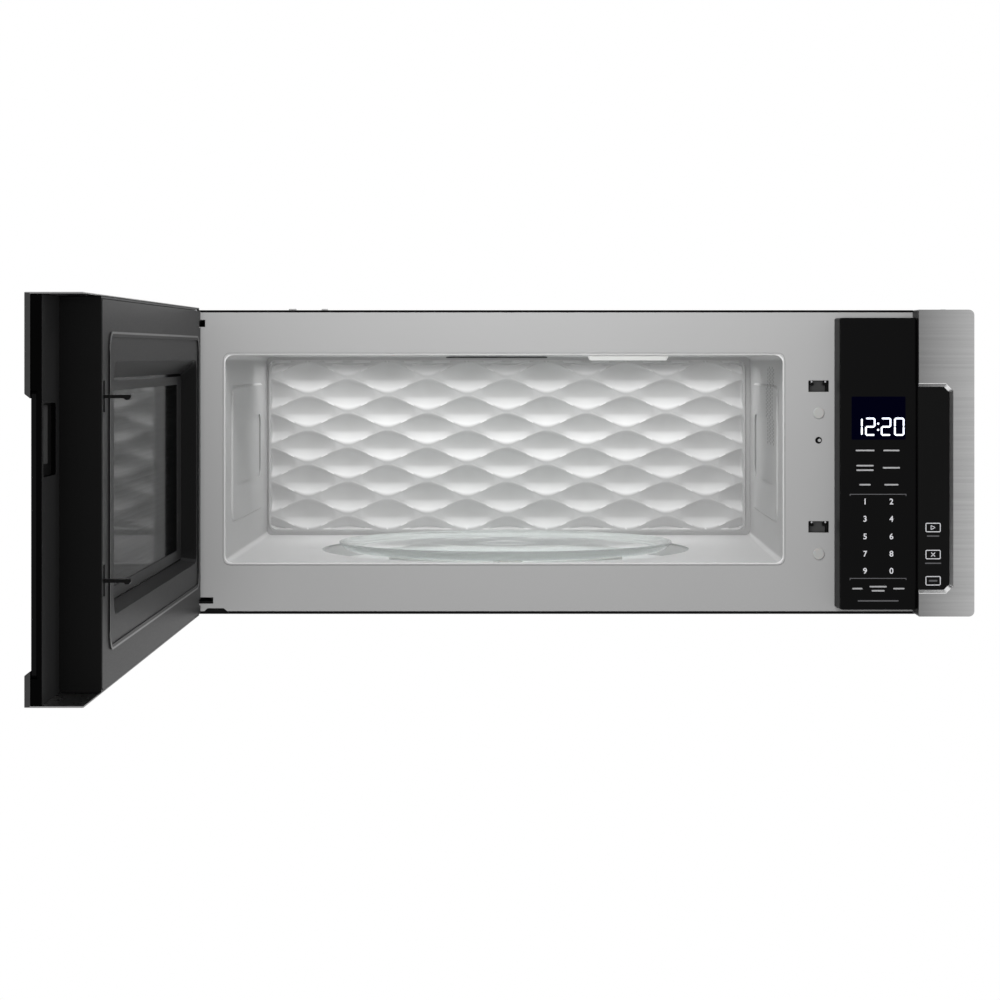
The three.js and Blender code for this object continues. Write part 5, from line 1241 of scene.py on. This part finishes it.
class MICROWAVE_OT_turntable(bpy.types.Operator):
    """Turn the glass tray and finish the pieces under it"""

    bl_idname = "microwave.turntable"
    bl_label = "Turntable"

    def execute(self, context):
        low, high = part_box("glass_tray")
        centre = ((low.x + high.x) / 2, (low.y + high.y) / 2)
        radius = (high.x - low.x) / 2
        foot, head = low.z, high.z
        starts = {"foot": foot, "floor": foot + TRAY_THICKNESS, "head": head}
        profile = [
            (radius * share - inset, starts[start] + rise)
            for share, inset, start, rise in TRAY_SECTION
        ]
        tray = lathed("turned_glass_tray", profile, centre, "clear_tray_glass", 128)
        smooth(tray, TRAY_SHARP_ANGLE)
        settle(tray, "tray", "clear_glass", "glass_tray")
        for node in ("roller_ring", "roller_1", "roller_2", "roller_3", "turntable_hub"):
            eased(node, ROLLER_EDGE, "pale_nylon")
        return {"FINISHED"}


# ------------------------------------------------------------------ keypad and end strip

PRINT_RISE = 0.06 * MM
DIGIT_COLUMNS = mm(280.0, 304.5)
DIGIT_ROWS = mm(-35.8, -51.9, -68.2, -84.3, -100.2)
# Bars of the upper and lower keys: middle x, middle z and width
KEY_BARS = (
    mm(280.0, 11.9, 17.5),
    mm(304.5, 11.9, 15.0),
    mm(280.0, -2.2, 16.0),
    mm(280.0, -6.4, 16.0),
    mm(304.5, -4.2, 16.0),
    mm(280.0, -19.9, 10.5),
    mm(304.5, -19.9, 13.0),
    mm(272.9, -116.4, 9.5),
    mm(292.2, -114.6, 16.0),
    mm(292.2, -118.4, 12.0),
    mm(311.4, -116.4, 10.5),
)
KEY_BAR_HALF_H = 0.7 * MM
DIM_BARS = (mm(292.2, -127.8, 38.0),)
DIM_BAR_HALF_H = 0.6 * MM
DIVIDER_ROWS = mm(-28.8, -106.9)
DIVIDER_X = mm(265.8, 318.4)
DIVIDER_HALF_H = 0.35 * MM
DIVIDER_DROP = 1.6 * MM
# How much a digit's strokes grow, and its height in the type's own size
DIGIT_WEIGHT = 0.022
DIGIT_SHARE = 0.72
HOUSING_EDGE = 0.7 * MM
GLASS_EDGE = 0.35 * MM
DISPLAY_CORNER = 1.0 * MM
# The clock's digits from left to right, with the ends of each, and its two dots
CLOCK_Z = mm(25.5, 42.4)
CLOCK_STROKE = 1.6 * MM
CLOCK_DIGITS = [
    ("1", 274.2 * MM, 277.8 * MM),
    ("2", 280.0 * MM, 289.7 * MM),
    ("2", 294.6 * MM, 304.4 * MM),
    ("0", 306.9 * MM, 316.6 * MM),
]
CLOCK_DOT = 0.95 * MM
CLOCK_DOT_Z = 2.9 * MM
SEGMENTS = {"1": "bc", "2": "abged", "0": "abcdef"}


def digit_mesh(text, height, x, y, z):
    """One digit as a thin raised print that faces the front, centred at (x, z)."""
    curve = bpy.data.curves.new(f"digit_{text}", "FONT")
    curve.body = text
    curve.align_x = "CENTER"
    curve.align_y = "CENTER"
    curve.size = height / DIGIT_SHARE
    curve.extrude = PRINT_RISE / 2
    curve.offset = height * DIGIT_WEIGHT
    holder = bpy.data.objects.new(curve.name, curve)
    bpy.context.scene.collection.objects.link(holder)
    graph = bpy.context.evaluated_depsgraph_get()
    mesh = bpy.data.meshes.new_from_object(holder.evaluated_get(graph), depsgraph=graph)
    bpy.data.objects.remove(holder)
    mesh.transform(Matrix.Translation((x, y, z)) @ Matrix.Rotation(math.pi / 2, 4, "X"))
    return mesh


def add_stroke(shape, start, end, half, front, back):
    """A straight bar with pointed ends between two (x, z) points."""
    (x0, z0), (x1, z1) = start, end
    length = math.hypot(x1 - x0, z1 - z0)
    ux, uz = (x1 - x0) / length, (z1 - z0) / length
    nx, nz = -uz * half, ux * half
    tip = half * 0.9
    points = [
        (x0, z0),
        (x0 + ux * tip - nx, z0 + uz * tip - nz),
        (x1 - ux * tip - nx, z1 - uz * tip - nz),
        (x1, z1),
        (x1 - ux * tip + nx, z1 - uz * tip + nz),
        (x0 + ux * tip + nx, z0 + uz * tip + nz),
    ]
    add_plate(shape, points, front, back)


def add_bars(shape, bars, half_h, front, back):
    """Thin level bars with round ends, each from its middle and its width."""
    for x, z, width in bars:
        half_w = width / 2
        points = ring_points(x - half_w, x + half_w, z - half_h, z + half_h, half_h * 0.95, 4)
        add_plate(shape, points, front, back)


def add_clock_digit(shape, lit, x0, x1, front, back):
    """The lit segments of one display digit."""
    z0, z1 = CLOCK_Z
    half = CLOCK_STROKE / 2
    left, right = x0 + half, x1 - half
    foot, head, middle = z0 + half, z1 - half, (z0 + z1) / 2
    ends = {
        "a": ((left, head), (right, head)),
        "b": ((right, head), (right, middle)),
        "c": ((right, middle), (right, foot)),
        "d": ((left, foot), (right, foot)),
        "e": ((left, middle), (left, foot)),
        "f": ((left, head), (left, middle)),
        "g": ((left, middle), (right, middle)),
    }
    for key in lit:
        add_stroke(shape, *ends[key], half, front, back)


class MICROWAVE_OT_keypad(bpy.types.Operator):
    """Finish the keypad: housing, glass, lit clock, digits and key marks"""

    bl_idname = "microwave.keypad"
    bl_label = "Keypad"

    def execute(self, context):
        eased("keypad_housing", HOUSING_EDGE, "black_moulding", segments=3)
        eased("keypad_glass", GLASS_EDGE, "black_backed_glass")
        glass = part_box("keypad_glass")[0].y
        self.display(glass)
        self.digits(glass - PRINT_RISE / 2)
        self.marks(glass)
        return {"FINISHED"}

    def display(self, glass):
        low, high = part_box("display_module")
        shape = bmesh.new()
        points = ring_points(low.x, high.x, low.z, high.z, DISPLAY_CORNER)
        add_plate(shape, points, glass - PRINT_RISE, glass + PRINT_RISE)
        window = from_bmesh("display_window", shape, "display_filter")
        settle(window, "root", "display")
        shape = bmesh.new()
        front, back = glass - 2.5 * PRINT_RISE, glass - 0.5 * PRINT_RISE
        for text, x0, x1 in CLOCK_DIGITS:
            add_clock_digit(shape, SEGMENTS[text], x0, x1, front, back)
        middle_x = (CLOCK_DIGITS[1][2] + CLOCK_DIGITS[2][1]) / 2
        middle_z = sum(CLOCK_Z) / 2
        for side in (-1, 1):
            points = dot_points(middle_x, middle_z + side * CLOCK_DOT_Z, CLOCK_DOT, 0.9, 6)
            add_plate(shape, points, front, back)
        fixed("lit_clock", shape, "lit_segments", "root", "display")

    def digits(self, y):
        shape = bmesh.new()
        for row, z in enumerate(DIGIT_ROWS):
            for column, x in enumerate(DIGIT_COLUMNS):
                text = str((2 * row + column + 1) % 10)
                mesh = digit_mesh(text, sizes().digit_height, x, y, z)
                shape.from_mesh(mesh)
                bpy.data.meshes.remove(mesh)
        made = from_bmesh("key_digits", shape, "white_print")
        settle(made, "root", "black_glass")

    def marks(self, glass):
        """The plain bars of the keys, and the two dividing lines."""
        shape = bmesh.new()
        front, back = glass - PRINT_RISE, glass + PRINT_RISE
        add_bars(shape, KEY_BARS, KEY_BAR_HALF_H, front, back)
        fixed("key_marks", shape, "pale_print", "root", "black_glass")
        shape = bmesh.new()
        x0, x1 = DIVIDER_X
        for z in DIVIDER_ROWS:
            half = DIVIDER_HALF_H
            points = ring_points(x0, x1, z - half, z + half, half * 0.9, 3)
            add_plate(shape, points, front, back)
            for x in (x0 + half, x1 - half):
                turned = ring_points(x - half, x + half, z - DIVIDER_DROP, z + half, half * 0.9, 3)
                add_plate(shape, turned, front - PRINT_RISE / 4, back)
        add_bars(shape, DIM_BARS, DIM_BAR_HALF_H, front, back)
        fixed("key_dividers", shape, "grey_print", "root", "black_glass")


# Keys of the sunk band by their marks, with the middle of each
STRIP_KEYS = {"start": -59.1 * MM, "stop": -84.1 * MM, "bare": -108.4 * MM}
STRIP_KEY_X = mm(334.9, 348.9)
STRIP_KEY_H = 8.6 * MM
STRIP_KEY_CORNER = 1.4 * MM
STRIP_LINE = 0.75 * MM
STRIP_DEPTH = 4.5 * MM
STRIP_EDGE = 0.5 * MM
POCKET_EDGE = 0.3 * MM
# Half size of the marks in the keys, and half widths of their strokes
MARK_REACH = 1.9 * MM
START_HALF = 0.3 * MM
STOP_HALF = 0.35 * MM
# Bars under the first two keys, and the bar in the third
STRIP_BARS = (mm(-67.0, 11.5), mm(-92.2, 15.0))
STRIP_BAR_HALF_H = 0.55 * MM
BARE_BAR = mm(8.0, 0.8)
# The pocket's slanted ends lie within this height, and tilt at least this far
BEVEL_REACH = 130.0 * MM
BEVEL_TILT = 0.3


class MICROWAVE_OT_end_strip(bpy.types.Operator):
    """Finish the brushed end strip and the keys in its sunk band"""

    bl_idname = "microwave.end_strip"
    bl_label = "End Strip"

    def execute(self, context):
        trim = eased("end_trim", STRIP_EDGE, "brushed_end_steel", segments=3)
        # Painted highlight: the pocket's slanted ends get a much lighter copy of the steel
        add_finish(trim, "bright_bevel_steel", self.slanted)
        eased("touch_pocket", POCKET_EDGE, "black_moulding")
        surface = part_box("end_trim")[0].y + STRIP_DEPTH
        front, back = surface - PRINT_RISE, surface + PRINT_RISE
        shape = bmesh.new()
        x0, x1 = STRIP_KEY_X
        line = STRIP_LINE
        for z in STRIP_KEYS.values():
            z0, z1 = z - STRIP_KEY_H / 2, z + STRIP_KEY_H / 2
            outer = ring_points(x0, x1, z0, z1, STRIP_KEY_CORNER)
            inner = ring_points(x0 + line, x1 - line, z0 + line, z1 - line, STRIP_KEY_CORNER / 2)
            add_frame(shape, outer, inner, front, back)
        middle = (x0 + x1) / 2
        reach = MARK_REACH
        z = STRIP_KEYS["start"]
        tip = (middle + reach, z)
        corners = [(middle - reach, z + reach), (middle - reach, z - reach)]
        for start, end in (corners, (corners[1], tip), (tip, corners[0])):
            add_stroke(shape, start, end, START_HALF, front, back)
        z = STRIP_KEYS["stop"]
        for side in (-1, 1):
            start = (middle - reach, z - side * reach)
            end = (middle + reach, z + side * reach)
            add_stroke(shape, start, end, STOP_HALF, front, back)
        fixed("strip_keys", shape, "white_print", "root", "black_plastic")
        shape = bmesh.new()
        bars = [(middle, z, width) for z, width in STRIP_BARS]
        add_bars(shape, bars, STRIP_BAR_HALF_H, front, back)
        width, half_h = BARE_BAR
        add_bars(shape, ((middle, STRIP_KEYS["bare"], width),), half_h, front, back)
        fixed("strip_bars", shape, "grey_print", "root", "black_plastic")
        return {"FINISHED"}

    def slanted(self, face):
        """Whether a face belongs to a slanted end of the sunk band's pocket, which gets the painted
        highlight.
        """
        tilted = face.normal.y < -BEVEL_TILT and BEVEL_TILT < abs(face.normal.z)
        return tilted and abs(face.center.z) < BEVEL_REACH


# ------------------------------------------------------------------ door

DOOR_EDGES = {
    "door_skin": (0.5 * MM, "brushed_face_steel"),
    "door_glass": (0.4 * MM, "black_backed_glass"),
    "door_pan": (0.4 * MM, "black_moulding"),
    "door_cover": (0.7 * MM, "grey_door_moulding"),
    "door_end_cover": (0.5 * MM, "black_door_shell"),
    "door_inner_glass": (0.3 * MM, "door_pane_glass"),
    "hinge_block_upper": (0.3 * MM, "zinc_coated_sheet"),
    "hinge_block_lower": (0.3 * MM, "zinc_coated_sheet"),
    "latch_bar": (0.35 * MM, "black_moulding"),
}
# Turns a plate drawn in X and Z, seen from the front, to face the cavity's side of the open door
TO_DOOR = Matrix(((0, -1, 0), (1, 0, 0), (0, 0, 1))).to_4x4()
# The hinge side of the window's recess lies behind this place and within this height
JAMB_Y = -515.0 * MM
JAMB_Z = 100.0 * MM
# The plate behind the end cover's window, and the strip on it that meets the display
BACKING_Y = mm(-1146.5, -1093.0)
BACKING_Z = mm(14.0, 69.0)
BACKING_DEPTH = 3.2 * MM
BACKING_THICKNESS = 1.2 * MM
BACKING_RISE = 0.3 * MM
BACKING_CORNER = 1.5 * MM
STRIP_Y = mm(-1139.0, -1112.0)
STRIP_Z = mm(25.0, 66.0)
# Beyond these heights the skin's faces belong to its upper and lower edge
UPPER_CAP_Z = 141.5 * MM
LOWER_CAP_Z = -139.5 * MM
# The raised bead round the window, and the border of its glass: outlines, corners and depths
BEAD_Y = mm(-1044.5, -472.0)
BEAD_Z = mm(-114.0, 118.0)
BEAD_CORNER = 14 * MM
BEAD_WIDTH = 1.6 * MM
BEAD_DEPTH = mm(-0.08, 0.6)
PANE_Y = mm(-1013.0, -488.5)
PANE_Z = mm(-85.5, 81.0)
PANE_VIEW_Y = mm(-1004.0, -518.0)
PANE_VIEW_Z = mm(-76.5, 73.7)
PANE_CORNERS = mm(5, 1.5)
BORDER_DEPTH = mm(-0.7, -0.1)
SCREEN_OPEN = 0.62
# The screen's place and thickness, as shares of its node's depth
SCREEN_FROM = 0.2
SCREEN_SHARE = 0.6


class MICROWAVE_OT_door(bpy.types.Operator):
    """Finish the door and put the perforated screen behind its inner glass"""

    bl_idname = "microwave.door"
    bl_label = "Door"

    def execute(self, context):
        made = {
            node: eased(node, width, look) for node, (width, look) in DOOR_EDGES.items()
        }
        # Painted shade on the skin's turned-in ends
        add_finish(made["door_skin"], "brushed_edge_steel", self.turned_in)
        add_finish(made["door_end_cover"], "grey_door_moulding", lambda face: face.normal.x > 0.5)
        add_finish(made["door_cover"], "black_moulding", self.beside_hinge)
        self.screen()
        self.trims()
        self.display_backing()
        return {"FINISHED"}

    def turned_in(self, face):
        """Whether a face of the skin belongs to its turned-in ends, which get a dark copy of the
        steel as painted shade, standing in for the dark reflection they show.
        """
        return face.normal.x > -0.9 and LOWER_CAP_Z < face.center.z < UPPER_CAP_Z

    def beside_hinge(self, face):
        """Whether a face of the cover is the hinge side of the window's recess."""
        within = JAMB_Y < face.center.y and abs(face.center.z) < JAMB_Z
        return face.normal.y < -0.6 and within

    def trims(self):
        """The raised bead round the window, lighter grey as a painted highlight, and the border of
        its glass, facing the cavity.
        """
        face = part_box("door_cover")[1].x
        bead = bmesh.new()
        outer = ring_points(*BEAD_Y, *BEAD_Z, BEAD_CORNER, 10)
        middle_y, middle_z = sum(BEAD_Y) / 2, sum(BEAD_Z) / 2
        inner = []
        for y, z in outer:
            step_y = math.copysign(BEAD_WIDTH, y - middle_y)
            step_z = math.copysign(BEAD_WIDTH, z - middle_z)
            inner.append((y - step_y, z - step_z))
        # Painted highlight: the bead is a lighter grey than the cover's moulding around it
        add_frame(bead, outer, inner, *(depth - face for depth in BEAD_DEPTH))
        self.facing_cavity("window_bead", bead, "door_bead_moulding", "grey_plastic")
        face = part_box("door_inner_glass")[1].x
        border = bmesh.new()
        outer = ring_points(*PANE_Y, *PANE_Z, PANE_CORNERS[0], 5)
        inner = ring_points(*PANE_VIEW_Y, *PANE_VIEW_Z, PANE_CORNERS[1], 5)
        add_frame(border, outer, inner, *(depth - face for depth in BORDER_DEPTH))
        self.facing_cavity("glass_border", border, "grey_door_moulding", "grey_plastic")

    def display_backing(self):
        """The plate behind the end cover's window, with the pale strip that meets the display."""
        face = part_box("door_end_cover")[1].x
        back = BACKING_DEPTH + BACKING_THICKNESS - face
        raised = BACKING_DEPTH - BACKING_RISE
        for name, span_y, span_z, depth, look in (
            ("window_backing", BACKING_Y, BACKING_Z, BACKING_DEPTH, "black_moulding"),
            ("window_strip", STRIP_Y, STRIP_Z, raised, "window_strip_moulding"),
        ):
            shape = bmesh.new()
            points = ring_points(*span_y, *span_z, BACKING_CORNER, 3)
            add_plate(shape, points, depth - face, back)
            self.facing_cavity(name, shape, look, "black_plastic")

    def facing_cavity(self, name, shape, look, slot):
        """Turn a flat shape to the door's inner side and put it on the door."""
        bmesh.ops.transform(shape, matrix=TO_DOOR, verts=shape.verts)
        fixed(name, shape, look, "door", slot)

    def screen(self):
        low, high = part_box("door_screen")
        pitch = sizes().screen_pitch
        values = {
            "Width": high.y - low.y,
            "Height": high.z - low.z,
            "Pitch": pitch,
            "Row Step": pitch * math.sqrt(3) / 2,
            "Cell Radius": pitch / math.sqrt(3),
            "Corners": 6,
            "Open Share": SCREEN_OPEN,
            "Thickness": (high.x - low.x) * SCREEN_SHARE,
            "Material": finish("dark_screen_enamel"),
        }
        made = grown("perforated_door_screen", perforated_tree(), values)
        turn = Matrix(((0, 0, 1), (1, 0, 0), (0, 1, 0))).to_4x4()
        centre = (low + high) / 2
        centre.x = low.x + (high.x - low.x) * SCREEN_FROM
        made.data.transform(Matrix.Translation(centre) @ turn)
        settle(made, "door", "dark_screen", "door_screen")


# ------------------------------------------------------------------ grease filters

FILTER_RIM = 9 * MM
FILTER_PITCH = 9 * MM
FILTER_OPEN = 0.72
FILTER_MESH = 0.6 * MM
FILTER_SINK = 0.5 * MM


class MICROWAVE_OT_filter_mesh(bpy.types.Operator):
    """Lay expanded-metal mesh into the two grease filters"""

    bl_idname = "microwave.filter_mesh"
    bl_label = "Grease Filter Mesh"

    def execute(self, context):
        for side in ("left", "right"):
            low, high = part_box(f"grease_filter_{side}")
            values = {
                "Width": high.x - low.x - 2 * FILTER_RIM,
                "Height": high.y - low.y - 2 * FILTER_RIM,
                "Pitch": FILTER_PITCH,
                "Row Step": FILTER_PITCH / 4,
                "Cell Radius": FILTER_PITCH / 4,
                "Stretch": 2.0,
                "Corners": 4,
                "Open Share": FILTER_OPEN,
                "Thickness": FILTER_MESH,
                "Material": finish("zinc_coated_sheet"),
            }
            made = grown(f"filter_mesh_{side}", perforated_tree(), values)
            centre = (low + high) / 2
            centre.z = low.z + FILTER_SINK
            made.data.transform(Matrix.Translation(centre))
            settle(made, "root", "steel_sheet")
        return {"FINISHED"}


# ------------------------------------------------------------------ screws

# A screw's head as shares of its radius: its rise, and its section as shares of both; its sink
SCREW_RISE = 0.32
SCREW_SECTION = ((1, 0.35), (0.9, 0.75), (0.65, 1), (0, 1))
SCREW_SINK = 0.1 * MM
# Half length and half width of the cross recess as shares of the radius, and its depth of the rise
RECESS_ARM = 0.62
RECESS_WIDTH = 0.16
RECESS_DEPTH = 0.7
# The cover's screws stand this far inside its corners and over the damper's frame
COVER_SCREW_INSET = 20 * MM
COVER_SCREW_RISE = 1.3 * MM
PANEL_SCREWS_X = mm(-290, -190, 190, 290)
PANEL_SCREWS_Z = mm(-38, 60)
SCREW_SHARP_ANGLE = 40.0


def screw_head(radius):
    """A low pan head with a cross recess, standing on the X-Y plane."""
    head = SCREW_RISE * radius
    profile = [(0, -SCREW_SINK), (radius, -SCREW_SINK)]
    profile += [(radius * share, head * rise) for share, rise in SCREW_SECTION]
    made = lathed("screw_head", profile, (0, 0), None, 20)
    shape = bmesh.new()
    arm, width = radius * RECESS_ARM, radius * RECESS_WIDTH
    for size_x, size_y in ((arm, width), (width, arm)):
        block = bmesh.ops.create_cube(shape, size=2.0)
        place = Matrix.Diagonal((size_x, size_y, head * RECESS_DEPTH, 1))
        place = Matrix.Translation((0, 0, head)) @ place
        bmesh.ops.transform(shape, matrix=place, verts=block["verts"])
    cutter = from_bmesh("cross_recess", shape)
    cut = made.modifiers.new("recess", "BOOLEAN")
    cut.operation = "DIFFERENCE"
    cut.object = cutter
    cut.use_self = True
    bake(made)
    bpy.data.objects.remove(cutter)
    return made


class MICROWAVE_OT_screws(bpy.types.Operator):
    """Set the screws of the cover and the rear panel"""

    bl_idname = "microwave.screws"
    bl_label = "Screws"

    def execute(self, context):
        low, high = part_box("outer_cover")
        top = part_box("damper_frame")[1].z + COVER_SCREW_RISE
        places = []
        for x in (low.x + COVER_SCREW_INSET, high.x - COVER_SCREW_INSET):
            for y in (high.y - COVER_SCREW_INSET, low.y + COVER_SCREW_INSET):
                places.append(((x, y, top), (0, 0, 1)))
        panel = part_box("rear_panel")[1].y
        for x in PANEL_SCREWS_X:
            for z in PANEL_SCREWS_Z:
                places.append(((x, panel, z), (0, 1, 0)))
        head = screw_head(sizes().screw_radius)
        made = scattered("panel_screws", head, places, "zinc_coated_sheet", turn=math.pi)
        smooth(made, SCREW_SHARP_ANGLE)
        settle(made, "root", "steel_sheet")
        return {"FINISHED"}


# ------------------------------------------------------------------ inner works


class MICROWAVE_OT_inner_works(bpy.types.Operator):
    """Give every remaining piece of the frame its finish"""

    bl_idname = "microwave.inner_works"
    bl_label = "Inner Works"

    def execute(self, context):
        for node, holder in frame["nodes"].items():
            if not holder.hide_render:
                repaint(node, SLOT_FINISHES[node_slot(node)])
        return {"FINISHED"}


# ------------------------------------------------------------------ studio

# Place, aim and size of the two lamps in front of the object
KEY_LAMP = ((-0.04, -0.88, 0.52), (-0.04, -0.42, 0), (0.3, 0.25))
FILL_LAMP = ((-0.10, -3.6, 0.10), (0, -0.42, 0), (1.0, 0.6))
# The cavity's lamp hangs under the ceiling, this far below its lens, and faces down
CAVITY_LAMP_Y = -0.108
CAVITY_LAMP_DROP = 0.8 * MM
CAVITY_LAMP_SIZE = (0.50, 0.12)
CAVITY_LAMP_SPREAD = 140.0
FLOOR_Z = -2.4
FLOOR_REACH = 6.0
FLOOR_COLOUR = (0.86, 0.86, 0.86, 1)
FLOOR_LIFT = 0.72
WHITE = (1, 1, 1, 1)


def white_to_the_eye(tree, plain, white):
    """Mix two shaders so that eye, gloss and glass see the white one."""
    path = put(tree, "ShaderNodeLightPath")
    seen = Field(tree, path.outputs["Is Camera Ray"])
    for label in ("Is Glossy Ray", "Is Transmission Ray"):
        seen = seen.above(Field(tree, path.outputs[label]))
    return put(tree, "ShaderNodeMixShader", {0: seen, 1: plain, 2: white})


def area_lamp(name, place, aim, size, power):
    """A rectangular lamp at a place, aimed at a point."""
    light = bpy.data.lights.new(name, "AREA")
    light.shape = "RECTANGLE"
    light.size, light.size_y = size
    light.energy = power
    lamp = bpy.data.objects.new(name, light)
    lamp.location = place
    lamp.rotation_euler = (Vector(aim) - Vector(place)).to_track_quat("-Z", "Y").to_euler()
    bpy.context.scene.collection.objects.link(lamp)
    return lamp


class MICROWAVE_OT_stage(bpy.types.Operator):
    """Set the camera, the pale floor, the white surroundings and the lamps"""

    bl_idname = "microwave.stage"
    bl_label = "Stage"

    def execute(self, context):
        self.camera(context.scene)
        self.surroundings(context.scene)
        self.floor()
        self.lamps(context.scene.microwave_studio)
        context.scene.view_settings.view_transform = "Standard"
        return {"FINISHED"}

    def camera(self, scene):
        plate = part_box("front_plate")[0].y
        data = bpy.data.cameras.new("camera")
        data.sensor_width = SENSOR
        data.lens = PHOTO_PX_PER_MM / MM * EYE_TO_PLATE * SENSOR / PHOTO_SIDE
        data.shift_x = (PHOTO_SIDE / 2 - PHOTO_VANISH[0]) / PHOTO_SIDE
        data.shift_y = (PHOTO_VANISH[1] - PHOTO_SIDE / 2) / PHOTO_SIDE
        eye = bpy.data.objects.new("camera", data)
        eye.location = (EYE_X, plate - EYE_TO_PLATE, EYE_Z)
        eye.rotation_euler = (math.pi / 2, 0, 0)
        scene.collection.objects.link(eye)
        scene.camera = eye

    def surroundings(self, scene):
        world = bpy.data.worlds.new("studio")
        world.use_nodes = True
        tree = world.node_tree
        tree.nodes.clear()
        ambient = scene.microwave_studio.ambient
        plain = put(tree, "ShaderNodeBackground", {"Strength": ambient})
        white = put(tree, "ShaderNodeBackground", {"Strength": 1.0})
        for node in (plain, white):
            node.inputs["Color"].default_value = WHITE
        seen = white_to_the_eye(tree, plain, white)
        put(tree, "ShaderNodeOutputWorld", {"Surface": seen})
        scene.world = world

    def floor(self):
        reach = FLOOR_REACH
        shape = bmesh.new()
        corners = [(-reach, -reach), (reach, -reach), (reach, reach), (-reach, reach)]
        shape.faces.new([shape.verts.new((x, y, FLOOR_Z)) for x, y in corners])
        material = bpy.data.materials.new("pale_floor")
        material.use_nodes = True
        tree = material.node_tree
        tree.nodes.clear()
        matt = put(tree, "ShaderNodeBsdfDiffuse", {"Color": FLOOR_COLOUR})
        lift = put(tree, "ShaderNodeEmission", {"Strength": FLOOR_LIFT})
        both = put(tree, "ShaderNodeAddShader", {0: matt, 1: lift})
        seen = white_to_the_eye(tree, matt, both)
        put(tree, "ShaderNodeOutputMaterial", {"Surface": seen})
        ground = from_bmesh("floor", shape)
        ground.data.materials.append(material)

    def lamps(self, studio):
        key = area_lamp("key", *KEY_LAMP, studio.key)
        fill = area_lamp("fill", *FILL_LAMP, studio.fill)
        for lamp in (key, fill):
            lamp.visible_glossy = False
        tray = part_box("glass_tray")
        middle = (tray[0].x + tray[1].x) / 2
        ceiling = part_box("cavity_lamp_cover")[0].z
        place = (middle, CAVITY_LAMP_Y, ceiling - CAVITY_LAMP_DROP)
        below = (middle, CAVITY_LAMP_Y, 0)
        lamp = area_lamp("cavity", place, below, CAVITY_LAMP_SIZE, studio.cavity)
        lamp.data.spread = math.radians(CAVITY_LAMP_SPREAD)


# ------------------------------------------------------------------ add-on

OPERATORS = (
    MICROWAVE_OT_cabinet,
    MICROWAVE_OT_plugs,
    MICROWAVE_OT_front_details,
    MICROWAVE_OT_catches,
    MICROWAVE_OT_air_holes,
    MICROWAVE_OT_quilted_wall,
    MICROWAVE_OT_turntable,
    MICROWAVE_OT_keypad,
    MICROWAVE_OT_end_strip,
    MICROWAVE_OT_door,
    MICROWAVE_OT_filter_mesh,
    MICROWAVE_OT_screws,
    MICROWAVE_OT_inner_works,
    MICROWAVE_OT_stage,
)


class MICROWAVE_PT_panel(bpy.types.Panel):
    """Pieces of the microwave, each with its button"""

    bl_idname = "MICROWAVE_PT_panel"
    bl_label = "Microwave"
    bl_space_type = "VIEW_3D"
    bl_region_type = "UI"
    bl_category = "Microwave"

    def draw(self, context):
        for group in ("microwave_sizes", "microwave_colours", "microwave_studio"):
            settings = getattr(context.scene, group)
            box = self.layout.box()
            for key in settings.bl_rna.properties.keys():
                if key not in ("rna_type", "name"):
                    box.prop(settings, key)
        for operator in OPERATORS:
            self.layout.operator(operator.bl_idname)


CLASSES = (MicrowaveSizes, MicrowaveColours, MicrowaveStudio, *OPERATORS, MICROWAVE_PT_panel)


def register():
    for kind in CLASSES:
        bpy.utils.register_class(kind)
    bpy.types.Scene.microwave_sizes = PointerProperty(type=MicrowaveSizes)
    bpy.types.Scene.microwave_colours = PointerProperty(type=MicrowaveColours)
    bpy.types.Scene.microwave_studio = PointerProperty(type=MicrowaveStudio)


def unregister():
    del bpy.types.Scene.microwave_studio
    del bpy.types.Scene.microwave_colours
    del bpy.types.Scene.microwave_sizes
    for kind in reversed(CLASSES):
        bpy.utils.unregister_class(kind)


def main():
    register()
    for operator in OPERATORS:
        group, name = operator.bl_idname.split(".")
        getattr(getattr(bpy.ops, group), name)()


if __name__ == "__main__":
    main()
